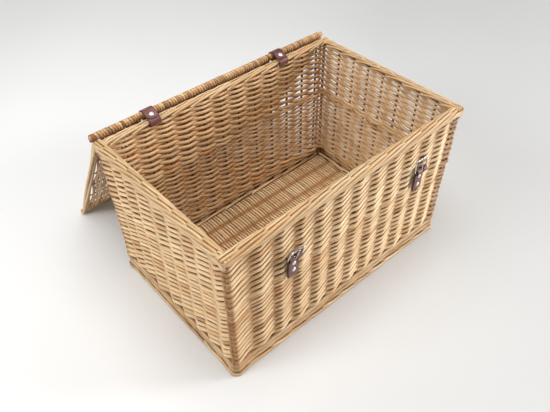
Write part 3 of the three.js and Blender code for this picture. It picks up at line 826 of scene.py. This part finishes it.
# ---------------------------------------------------------------- lid
LID_MID = 9.0
lid_sticks = 36 + np.arange(6) * (FRONT_S - LID_R - 0.3 - 62) / 5
step = lid_sticks[1] - lid_sticks[0]
r = Rods()
for s in lid_sticks:
    x = np.linspace(-284, 284, 40)
    n_lid = to_lid(0, 0, 1) - to_lid(0, 0, 0)
    # shade=0.6 paints the sticks darker, for the shade they lie in under the weavers
    r.add(to_lid(x, s + 0.6 * np.sin(x / 80 + s), LID_MID), 3.4, np.tile(n_lid, (40, 1)), 8, flat=(0.42, 1.0),
          tone=float(rng.random() * 0.6 + 0.2), hue=float(rng.random()), groove=(0, 0), shade=0.6)
piece(r.obj("lid_sticks", M_STAKE), "lid", "willow_stick", *[f"lid_stick_{i}" for i in range(1, 7)])
r = Rods()
pitch = 4.5
count = int(2 * 282.0 / pitch)
for i in range(count):
    x = -pitch * (count - 1) / 2 + i * pitch
    s0, s1 = 8.6, FRONT_S - 6.8
    if any(abs(x - h) < 16 for h in HINGE_X):
        s0 = 31.0
    if any(abs(x - h) < 15.5 for h in BUCKLE_X):
        s1 = FRONT_S - 12.5
    s = np.linspace(s0, s1, 62)
    ph = rng.random() * 6
    lift = 3.05 * np.cos(math.pi * ((s - lid_sticks[0]) / step + i))
    z = LID_MID + lift - 5.5 * (1 - smooth(s, 8, 24))
    xx = x + 0.4 * np.sin(s / 37 + ph)
    # depth and groove paint shade on what lies below the middle of the weave and between rods
    r.add(to_lid(xx, s, z), 2.85 * (1 + rng.normal(0, 0.04)), np.tile(n_lid, (62, 1)), 8, flat=(0.82, 1.02),
          tone=float(np.clip(rng.normal(0.42, 0.17), 0, 1)), hue=float(0.35 + rng.random() ** 1.3),
          depth=lift, reach=(-1.8, 3.4), groove=(0.7, 0.7))
piece(r.obj("lid_weave_rods", M_WEAVE), "lid", "willow", "lid_weave")


def bundle(fn, length, n=3, rad=3.55, off=3.85, turn=190.0, seg=60, target=None):
    """Rods laid side by side in a slow twist round the line fn(s)."""
    for k in range(n):
        s = np.linspace(0, length, seg)
        a = 2 * math.pi * (s / turn + k / n)
        p = fn(s, off * np.cos(a), off * np.sin(a))
        target.add(p, rad * (1 + rng.normal(0, 0.02)), None, 10,
                   tone=float(np.clip(rng.normal(0.3, 0.12), 0, 1)), hue=float(rng.random() ** 2))


r = Rods()
bundle(lambda s, a, b: to_lid(-299.0 + s, FRONT_S + a, LID_UP + b), 598.0, target=r, seg=90, turn=620.0)
piece(r.obj("lid_front_border", M_BORDER), "lid", "willow_border", "lid_border_front")
for nm, sx in (("left", -1), ("right", 1)):
    r = Rods()
    bundle(lambda s, a, b, sx=sx: to_lid(sx * 292.0 + a, 9.8 + s, LID_UP + b), 371.5, target=r, seg=60, turn=900.0)
    piece(r.obj("lid_side_border_" + nm, M_BORDER), "lid", "willow_border", "lid_border_" + nm)

# hinge bar: a stout rod, closely wrapped
r = Rods()
x = np.linspace(-298.5, 295.0, 40)
r.add(np.stack([x, np.full_like(x, BAR_Y), np.full_like(x, BAR_Z)], -1), 5.2, None, 14, tone=0.5, hue=0.3)
piece(r.obj("hinge_bar_rod", M_STAKE), "lid", "willow_stick", "hinge_bar_core")
r = Rods()
x = -296.5
while x < 290.5:
    p = 6.1 + rng.normal(0, 0.45)
    th = np.linspace(0, 2 * math.pi + 0.35, 26) + math.pi * 1.4 + rng.normal(0, 0.15)
    f = (th - th[0]) / (2 * math.pi)
    c, s = np.cos(th), np.sin(th)
    rad = 6.3
    pts = np.stack([x - p * 0.5 + f * p, BAR_Y + rad * c, BAR_Z + rad * s], -1)
    nr = np.stack([np.zeros_like(c), c, s], -1)
    # painted shade on the side of each turn that faces the rim, where the contact shadow falls, and in the grooves
    # between turns
    r.add(pts, 1.0, nr, 10, flat=(1.2, 0.46 * p), tone=float(np.clip(rng.normal(0.46, 0.26), 0, 1)), hue=float(rng.random() ** 1.2),
          groove=(0.9, 0.9), gpow=4.0, shade=0.75 * smooth(-c, 0.35, 0.95))
    x += p
piece(r.obj("hinge_bar_wrapping", M_WRAP), "lid", "willow_border", "hinge_bar_wrap")


# ---------------------------------------------------------------- leather
def hull(circles, n=96):
    p = []
    for cy, cz, rr in circles:
        th = np.arange(n) * 2 * math.pi / n
        p += list(zip(cy + rr * np.cos(th), cz + rr * np.sin(th)))
    p = sorted(set((round(a, 6), round(b, 6)) for a, b in p))
    def cross(o, a, b):
        return (a[0] - o[0]) * (b[1] - o[1]) - (a[1] - o[1]) * (b[0] - o[0])
    def half(ps):
        h = []
        for q in ps:
            while len(h) >= 2 and cross(h[-2], h[-1], q) <= 0:
                h.pop()
            h.append(q)
        return h[:-1]
    return np.array(half(p) + half(p[::-1]))


def resample(p, ds):
    p = np.asarray(p, float)
    d = np.concatenate([[0], np.cumsum(np.linalg.norm(np.diff(p, axis=0), axis=1))])
    n = max(8, int(d[-1] / ds) + 1)
    s = np.linspace(0, d[-1], n)
    q = np.stack([np.interp(s, d, p[:, k]) for k in range(p.shape[1])], -1)
    for _ in range(2):
        q[1:-1] = 0.25 * q[:-2] + 0.5 * q[1:-1] + 0.25 * q[2:]
    return q


def ribbon(name, path, xc, width, thick=LEATHER_T, shape=None, place=None, ds=1.6):
    """A leather strip swept along a (y, z) path, its width along X; shape(s, total) scales the width."""
    p = resample(path, ds)
    n = len(p)
    d = np.concatenate([[0], np.cumsum(np.linalg.norm(np.diff(p, axis=0), axis=1))])
    t = np.gradient(p, axis=0)
    t /= np.maximum(np.linalg.norm(t, axis=1, keepdims=True), 1e-9)
    nr = np.stack([-t[:, 1], t[:, 0]], -1)
    hw, ht, r = width / 2, thick / 2, min(0.75, thick * 0.32)
    sec, edge = [], []
    across = np.linspace(-1, 1, 13)
    for x in across:
        sec.append((x * (hw - r), ht)); edge.append(abs(x) > 0.93)
    for a in (60, 30, 0, -30, -60):
        sec.append((hw - r + r * math.cos(math.radians(a)), (ht - r) * np.sign(a) + r * math.sin(math.radians(a)))); edge.append(True)
    for x in across[::-1]:
        sec.append((x * (hw - r), -ht)); edge.append(abs(x) > 0.93)
    for a in (240, 210, 180, 150, 120):
        sec.append((-hw + r + r * math.cos(math.radians(a)), (ht - r) * (-1 if a > 180 else (1 if a < 180 else 0)) + r * math.sin(math.radians(a)))); edge.append(True)
    sec = np.array(sec)[::-1]
    edge = np.array(edge, float)[::-1]
    k = len(sec)
    scale = np.ones(n) if shape is None else shape(d, d[-1])
    v = np.zeros((n, k, 3))
    v[..., 0] = xc + sec[None, :, 0] * scale[:, None]
    v[..., 1] = p[:, None, 0] + sec[None, :, 1] * nr[:, None, 0]
    v[..., 2] = p[:, None, 1] + sec[None, :, 1] * nr[:, None, 1]
    verts = v.reshape(-1, 3)
    if place is not None:
        verts = verts @ np.array(place.to_3x3()).T + np.array(place.translation)
    faces = [(i * k + j, i * k + (j + 1) % k, (i + 1) * k + (j + 1) % k, (i + 1) * k + j) for i in range(n - 1) for j in range(k)]
    faces += [tuple(range(k))[::-1], tuple((n - 1) * k + j for j in range(k))]
    me = bpy.data.meshes.new(name)
    me.from_pydata((verts * 0.001).tolist(), [], faces)
    me.polygons.foreach_set("use_smooth", [True] * (len(faces) - 2) + [False, False])
    e = np.tile(edge, n).reshape(n, k)
    e[:1] = 1; e[-1:] = 1
    me.attributes.new("edge", "FLOAT", "POINT").data.foreach_set("value", e.ravel().astype(np.float32))
    me.update()
    ob = bpy.data.objects.new(name, me)
    bpy.context.scene.collection.objects.link(ob)
    me.materials.append(M_LEATHER)
    return ob


def cut(ob, cutters):
    for c in cutters:
        md = ob.modifiers.new("cut", "BOOLEAN")
        md.operation = "DIFFERENCE"
        md.solver = "EXACT"
        md.object = c
    bpy.context.view_layer.update()
    dg = bpy.context.evaluated_depsgraph_get()
    me = bpy.data.meshes.new_from_object(ob.evaluated_get(dg), preserve_all_data_layers=True, depsgraph=dg)
    ob.modifiers.clear()
    old = ob.data
    ob.data = me
    me.name = old.name + "_cut"
    for c in cutters:
        bpy.data.objects.remove(c, do_unlink=True)


def solid(name, verts, faces):
    me = bpy.data.meshes.new(name)
    me.from_pydata([tuple(x) for x in verts], [], faces)
    ob = bpy.data.objects.new(name, me)
    bpy.context.scene.collection.objects.link(ob)
    return ob


def prism(name, a, b, rad, n=20):
    """A round cutter between points a and b (mm)."""
    a, b = np.array(a, float), np.array(b, float)
    d = (b - a) / np.linalg.norm(b - a)
    e = np.cross(d, (1, 0, 0) if abs(d[0]) < 0.8 else (0, 1, 0))
    e /= np.linalg.norm(e)
    f = np.cross(d, e)
    th = np.arange(n) * 2 * math.pi / n
    ring = rad * (np.cos(th)[:, None] * e + np.sin(th)[:, None] * f)
    v = np.vstack([a + ring, b + ring]) * 0.001
    fs = [(i, (i + 1) % n, n + (i + 1) % n, n + i) for i in range(n)] + [tuple(range(n))[::-1], tuple(range(n, 2 * n))]
    return solid(name, v, fs)


# hinge loops: outer flap, over the bar, under the rim, up the inside and back below the flap
inner = ((WIDTH / 2 - RIM_W, HEIGHT), (WIDTH / 2 - RIM_W, HEIGHT - RIM_H), (WIDTH / 2, HEIGHT - RIM_H))
run_a = np.array([WIDTH / 2 - RIM_W, HEIGHT])
to_bar = np.array([BAR_Y, BAR_Z]) - run_a
RUN_ANGLE = math.atan2(to_bar[1], to_bar[0]) + math.asin(BAR_R / np.linalg.norm(to_bar))
RUN_LEN = math.sqrt(to_bar @ to_bar - BAR_R ** 2)
run_t = np.array([math.cos(RUN_ANGLE), math.sin(RUN_ANGLE)])
run_n = np.array([-run_t[1], run_t[0]])


def on_run(s, h):
    return run_a + run_t * s + run_n * h


mid = CLEAR + LEATHER_T / 2
loop = hull([(*c, mid) for c in inner] + [(BAR_Y, BAR_Z, BAR_R + mid)])
# start the loop where the top run meets the bar and go over the bar, down and round
start = np.argmin(np.linalg.norm(loop - on_run(RUN_LEN, mid), axis=1))
loop = np.roll(loop, -start, axis=0)
if loop[len(loop) // 6][0] < loop[0][0]:
    loop = np.roll(loop[::-1], 1, axis=0)
loop_end = np.argmin(np.linalg.norm(loop - on_run(0.0, mid), axis=1))


def rounded_end(r, at_start=True):
    def f(s, total):
        x = s if at_start else total - s
        k = np.clip(1 - x / r, 0, 1)
        return np.maximum(np.sqrt(np.clip(1 - 0.86 * k ** 2.2, 0, 1)), 0.2)
    return f


for x, side in zip(HINGE_X, SIDES):
    top = CLEAR + LEATHER_T * 1.5 + 0.08
    flap = [on_run(s, top - (0.55 * smooth(np.array(s), RUN_LEN - 9, RUN_LEN + 2))) for s in np.linspace(2.6, RUN_LEN - 1.0, 22)]
    lower = [on_run(s, mid) for s in np.linspace(0.6, RUN_LEN - 8.0, 12)]
    path = np.vstack([flap, loop[2:loop_end], lower])
    ob = ribbon("hinge_loop_" + side, path, x, 26.0, shape=rounded_end(9.0))
    piece(ob, "trunk", "leather", "hinge_strap_" + side)


# ---------------------------------------------------------------- metal
def lathe(name, prof, place, n=28):
    th = np.arange(n) * 2 * math.pi / n
    verts, faces, rings = [], [], []
    for r_, h in prof:
        if r_ < 1e-6:
            rings.append([len(verts)])
            verts.append((0, 0, h))
        else:
            rings.append(list(range(len(verts), len(verts) + n)))
            verts += [(r_ * math.cos(t), r_ * math.sin(t), h) for t in th]
    for a, b in zip(rings, rings[1:]):
        for j in range(n):
            k = (j + 1) % n
            if len(a) == 1:
                faces.append((a[0], b[k], b[j]))
            elif len(b) == 1:
                faces.append((a[j], a[k], b[0]))
            else:
                faces.append((a[j], a[k], b[k], b[j]))
    me = bpy.data.meshes.new(name)
    pl = [place @ Matrix.Translation(v).translation for v in verts]
    me.from_pydata([tuple(c * 0.001 for c in v) for v in pl], [], faces)
    me.polygons.foreach_set("use_smooth", [True] * len(faces))
    me.update()
    ob = bpy.data.objects.new(name, me)
    bpy.context.scene.collection.objects.link(ob)
    me.materials.append(M_RIVET)
    return ob


def rivet(name, place, h0, s0, disc, head=4.6, rise=1.7):
    prof = []
    if disc:
        prof += [(0, s0 - disc), (2.4, s0 - disc), (3.3, s0 - disc * 0.8), (3.6, s0 - disc * 0.4), (3.55, s0), (2.0, s0 + 0.02)]
    else:
        prof += [(0, s0), (2.0, s0)]
    prof += [(2.0, h0 - 0.02), (head * 0.96, h0), (head, h0 + 0.22), (head * 0.98, h0 + 0.45)]
    for a in np.linspace(12, 82, 8):
        prof.append((head * 0.955 * math.cos(math.radians(a)), h0 + 0.42 + (rise - 0.42) * math.sin(math.radians(a))))
    prof.append((0, h0 + rise))
    return lathe(name, prof, place)


H1 = CLEAR + LEATHER_T
for x, side in zip(HINGE_X, SIDES):
    m_ = on_run(12.5, 0)
    place = Matrix.Translation((x, m_[0], m_[1])) @ Matrix.Rotation(RUN_ANGLE, 4, "X")
    piece(rivet("loop_rivet_" + side, place, H1 + LEATHER_T + 0.02, CLEAR - 0.05, 1.1), "trunk", "steel", "hinge_rivet_" + side)

LEAN = math.atan(INSET_Y / HEIGHT)
TAB_T = 2 * LEATHER_T + 0.2


def tube_object(name, path, rad, closed=False, sides=12, place=None, extra=()):
    r_ = Rods()
    for p, rr, ends in [(path, rad, (not closed, not closed)), *extra]:
        p = np.asarray(p, float)
        if place is not None:
            p = p @ np.array(place.to_3x3()).T + np.array(place.translation)
        r_.add(p, rr, None, sides, taper=ends)
    return r_.obj(name, M_METAL)


def closed_tube(name, path, rad, sides, place):
    """A ring of wire: path is closed, its cross-section round."""
    p = np.asarray(path, float)
    n = len(p)
    t = np.roll(p, -1, axis=0) - np.roll(p, 1, axis=0)
    t /= np.linalg.norm(t, axis=1, keepdims=True)
    nr = np.tile(np.array([0.0, 1.0, 0.0]), (n, 1))
    bb = np.cross(t, nr)
    th = np.arange(sides) * 2 * math.pi / sides
    v = p[:, None, :] + rad * (np.cos(th)[None, :, None] * nr[:, None, :] + np.sin(th)[None, :, None] * bb[:, None, :])
    v = v.reshape(-1, 3) @ np.array(place.to_3x3()).T + np.array(place.translation)
    f = [(i * sides + j, i * sides + (j + 1) % sides, ((i + 1) % n) * sides + (j + 1) % sides, ((i + 1) % n) * sides + j)
         for i in range(n) for j in range(sides)]
    me = bpy.data.meshes.new(name)
    me.from_pydata((v * 0.001).tolist(), [], f)
    me.polygons.foreach_set("use_smooth", [True] * len(f))
    me.update()
    ob = bpy.data.objects.new(name, me)
    bpy.context.scene.collection.objects.link(ob)
    me.materials.append(M_METAL)
    return ob


def round_rect(x0, x1, z0, z1, r_, seg=6, along=8):
    pts = []
    for cx, cz, a0 in ((x1 - r_, z1 - r_, 0), (x0 + r_, z1 - r_, 90), (x0 + r_, z0 + r_, 180), (x1 - r_, z0 + r_, 270)):
        for a in np.linspace(a0, a0 + 90, seg + 1):
            pts.append((cx + r_ * math.cos(math.radians(a)), cz + r_ * math.sin(math.radians(a))))
    pts = np.array(pts)
    out = []
    for a, b in zip(pts, np.roll(pts, -1, axis=0)):
        k = max(1, int(np.linalg.norm(b - a) / 3))
        out += [a + (b - a) * i / k for i in range(k)]
    return np.array(out)


for x, side, tilt, holes in zip(BUCKLE_X, SIDES, FRAME_TILT, TAB_RIVETS):
    wall = Matrix.Translation((x, -out_y(BUCKLE_Z), BUCKLE_Z)) @ Matrix.Rotation(LEAN, 4, "X")
    # tab: up the back, round the buckle bar, down the front
    yb, yf = -0.3 - LEATHER_T / 2, -0.5 - LEATHER_T * 1.5
    fold = [(yb, -48.0), (yb, -30.0), (yb, -9.0)]
    for a in np.linspace(-14, 232, 40):
        fold.append((-PIVOT_OUT - 0.5 + 5.0 * math.cos(math.radians(a)), 1.6 + 5.0 * math.sin(math.radians(a))))
    fold += [(yf, -8.5), (yf, -30.0), (yf, -48.0)]
    ob = ribbon("buckle_leather_" + side, fold, 0.0, 24.0, place=wall, ds=1.0,
                shape=lambda d_, t_: 1 + 0.17 * smooth(np.abs(d_ - t_ / 2), 22.0, 12.0))
    box = [(-3, -16, -10), (3, -16, -10), (3, 3, -10), (-3, 3, -10), (-3, -16, 12), (3, -16, 12), (3, 3, 12), (-3, 3, 12)]
    bv = [tuple(c * 0.001 for c in (wall @ Matrix.Translation(v).translation)) for v in box]
    slot = solid("slot_cutter", bv, [(3, 2, 1, 0), (4, 5, 6, 7), (0, 1, 5, 4), (1, 2, 6, 5), (2, 3, 7, 6), (3, 0, 4, 7)])
    cut(ob, [slot])
    piece(ob, "trunk", "leather", "buckle_tab_" + side)
    for d, nm in zip(holes, ("upper", "lower")):
        pl = wall @ Matrix.Translation((0, 0, -d)) @ Matrix.Rotation(math.pi / 2, 4, "X")
        piece(rivet(f"tab_stud_{side}_{nm}", pl, 0.3 + TAB_T + 0.02, -17.25, 1.1, head=4.4), "trunk", "steel", f"tab_rivet_{side}_{nm}")
    pl = wall @ Matrix.Translation((0, -PIVOT_OUT, 0)) @ Matrix.Rotation(math.radians(tilt), 4, "X")
    rr = round_rect(-16.5, 16.5, 0.0, 28.0, 4.0)
    ring = np.stack([rr[:, 0], np.zeros(len(rr)), rr[:, 1]], -1)
    piece(closed_tube("buckle_wire_" + side, ring, 1.5, 14, pl), "buckle_" + side, "steel", "buckle_frame_" + side)
    eye = [(0, 3.25 * math.cos(a), 3.25 * math.sin(a)) for a in np.linspace(math.radians(-170), math.radians(175), 28)]
    pin_z = np.linspace(-1.0, 31.4, 24)
    pin = np.stack([np.zeros_like(pin_z), -3.2 - 0.0 * pin_z, pin_z], -1)
    r_ = Rods()
    pm = np.array(pl.to_3x3()).T
    pt = np.array(pl.translation)
    r_.add(np.array(eye) @ pm + pt, 0.95, None, 10)
    r_.add(pin @ pm + pt, 1.22 - 0.35 * smooth(pin_z, 22, 31.4), None, 12)
    piece(r_.obj("buckle_tongue_" + side, M_METAL), "prong_" + side, "steel", "buckle_prong_" + side)

for x, side in zip(BUCKLE_X, SIDES):
    cy, cz = STRAP_CY, STRAP_CZ
    rm = LID_R + CLEAR + LEATHER_T / 2
    path = [(cy + s, cz - rm + LEATHER_T + 0.05) for s in np.linspace(30, 12.5, 12)]
    for a in np.linspace(-28, 270, 70):
        path.append((cy + rm * math.cos(math.radians(a)), cz + rm * math.sin(math.radians(a))))
    path += [(cy + s, cz - rm) for s in np.linspace(2, 150, 90)]
    ob = ribbon("closing_strap_leather_" + side, path, x, 24.0, shape=rounded_end(13.0, False), ds=1.5)
    cut(ob, [prism(f"hole_{k}", (x, cy + 76 + 15 * k, cz - rm - 4), (x, cy + 76 + 15 * k, cz - rm + 4), 2.1) for k in range(4)])
    piece(ob, "closing_strap_" + side, "leather", "lid_strap_" + side)
    z0 = cz - RING
    place = Matrix.Translation((x, cy + 19, 0))
    piece(rivet("strap_stud_" + side, place, z0 + 2 * LEATHER_T + 0.06, z0 + 0.3, 0), "closing_strap_" + side, "steel", "strap_rivet_" + side)


# ---------------------------------------------------------------- floor, light, camera
def floor():
    m, nt, b = nodes_of("studio_floor")
    tc = nt.nodes.new("ShaderNodeTexCoord").outputs["Object"]
    c = ramp(nt, [(0.3, (0.80, 0.80, 0.79)), (0.7, (0.83, 0.83, 0.82))], noise(nt, tc, 1.5, 2)).outputs["Color"]
    # painted light and shade on the floor: a little paler behind the object and at its left, darker in front and at its
    # right
    aside = nt.nodes.new("ShaderNodeVectorMath")
    aside.operation = "DOT_PRODUCT"
    nt.links.new(tc, aside.inputs[0])
    aside.inputs[1].default_value = (-0.6, 0.8, 0.0)
    t = math_node(nt, "MULTIPLY_ADD", aside.outputs["Value"], 0.5, 0.5, clamp=True)
    c = mix(nt, 1.0, c, ramp(nt, [(0.2, (0.68, 0.68, 0.68)), (0.42, (0.72, 0.72, 0.72)), (0.6, (0.86, 0.86, 0.86)), (0.95, (1.0, 1.0, 1.0))], t).outputs["Color"], "MULTIPLY")
    # far from the object, beyond the lights, the floor glows softly so that it stays pale all round
    far_off = nt.nodes.new("ShaderNodeVectorMath")
    far_off.operation = "LENGTH"
    nt.links.new(tc, far_off.inputs[0])
    k = math_node(nt, "MULTIPLY_ADD", far_off.outputs["Value"], 1 / 5.0, -0.8 / 5.0, clamp=True)
    c = mix(nt, 1.0, c, ramp(nt, [(0.0, (1.0, 1.0, 1.0)), (0.34, (0.36, 0.36, 0.36)), (1.0, (0.3, 0.3, 0.3))], k).outputs["Color"], "MULTIPLY")
    nt.links.new(c, b.inputs["Base Color"])
    b.inputs["Roughness"].default_value = 0.7
    glow = ramp(nt, [(0.0, (0.0, 0.0, 0.0)), (0.14, (0.17, 0.17, 0.17)), (0.28, (0.36, 0.36, 0.36)), (0.5, (0.48, 0.48, 0.48)), (1.0, (0.56, 0.56, 0.56))], k).outputs["Color"]
    b.inputs["Emission Color"].default_value = (0.98, 0.98, 0.975, 1.0)
    nt.links.new(glow, b.inputs["Emission Strength"])
    me = bpy.data.meshes.new("studio_floor")
    # a wide disc in rings
    rings = (0.8, 2.0, 4.0, 8.0, 16.0, 32.0)
    cnt = 48
    vs, fs = [(0.0, 0.0, -0.0003)], []
    for r_ in rings:
        vs += [(r_ * math.cos(2 * math.pi * i / cnt), r_ * math.sin(2 * math.pi * i / cnt), -0.0003) for i in range(cnt)]
    for i in range(cnt):
        fs.append((0, 1 + i, 1 + (i + 1) % cnt))
        for j in range(len(rings) - 1):
            o = 1 + j * cnt
            fs.append((o + i, o + cnt + i, o + cnt + (i + 1) % cnt, o + (i + 1) % cnt))
    me.from_pydata(vs, [], fs)
    ob = bpy.data.objects.new("studio_floor", me)
    bpy.context.scene.collection.objects.link(ob)
    me.materials.append(m)


floor()


def area(name, loc, target, size, power, color=(1, 1, 1), size_y=None):
    li = bpy.data.lights.new(name, "AREA")
    li.shape = "RECTANGLE"
    li.size = size
    li.size_y = size_y or size
    li.energy = power
    li.color = color
    ob = bpy.data.objects.new(name, li)
    z = np.array(loc, float) - np.array(target, float)
    z /= np.linalg.norm(z)
    x = np.cross((0, 0, 1), z)
    x /= np.linalg.norm(x)
    y = np.cross(z, x)
    ob.matrix_world = Matrix(((x[0], y[0], z[0], loc[0]), (x[1], y[1], z[1], loc[1]), (x[2], y[2], z[2], loc[2]), (0, 0, 0, 1)))
    bpy.context.scene.collection.objects.link(ob)


area("key_right", (3.5, -2.3, 1.0), (0.0, 0.0, 0.2), 1.4, 196)
area("key_left", (-2.2, 0.45, 1.8), (0.0, 0.0, 0.2), 1.2, 42)
area("top", (-0.1, -0.4, 3.0), (0.0, 0.0, 0.0), 2.2, 78)
world = bpy.data.worlds.new("studio")
bpy.context.scene.world = world
world.use_nodes = True
bg = next(n for n in world.node_tree.nodes if n.type == "BACKGROUND")
# pale near the horizon, so that the floor has no edge, and dimmer overhead
wt = world.node_tree
sep = wt.nodes.new("ShaderNodeSeparateXYZ")
wt.links.new(wt.nodes.new("ShaderNodeTexCoord").outputs["Generated"], sep.inputs[0])
sky = ramp(wt, [(0.0, (0.68, 0.68, 0.675)), (0.25, (0.55, 0.55, 0.55)), (0.55, (0.10, 0.10, 0.10))], sep.outputs["Z"])
wt.links.new(sky.outputs["Color"], bg.inputs["Color"])
bg.inputs["Strength"].default_value = 1.0

F, AZ, EL, ROLL = 580.708, math.radians(-40.8795), math.radians(43.8691), math.radians(-0.8254)
TX, TY, TZ = 0.0369, -0.1481, 2.2315
pd = np.array([math.sin(AZ) * math.cos(EL), -math.cos(AZ) * math.cos(EL), math.sin(EL)])
fwd = -pd
right = np.cross(fwd, (0, 0, 1))
right /= np.linalg.norm(right)
up = np.cross(right, fwd)
r2 = right * math.cos(ROLL) + up * math.sin(ROLL)
u2 = -right * math.sin(ROLL) + up * math.cos(ROLL)
loc = -(TX * r2 + TY * u2 + TZ * fwd) * 0.6
cam = bpy.data.cameras.new("camera")
cam.sensor_fit = "HORIZONTAL"
cam.sensor_width = 36.0
cam.lens = F / 550 * 36.0
cam.clip_start, cam.clip_end = 0.05, 50
co = bpy.data.objects.new("camera", cam)
co.matrix_world = Matrix(((r2[0], u2[0], pd[0], loc[0]), (r2[1], u2[1], pd[1], loc[1]), (r2[2], u2[2], pd[2], loc[2]), (0, 0, 0, 1)))
bpy.context.scene.collection.objects.link(co)
bpy.context.scene.camera = co
bpy.context.scene.view_settings.view_transform = "Standard"

bpy.context.view_layer.update()
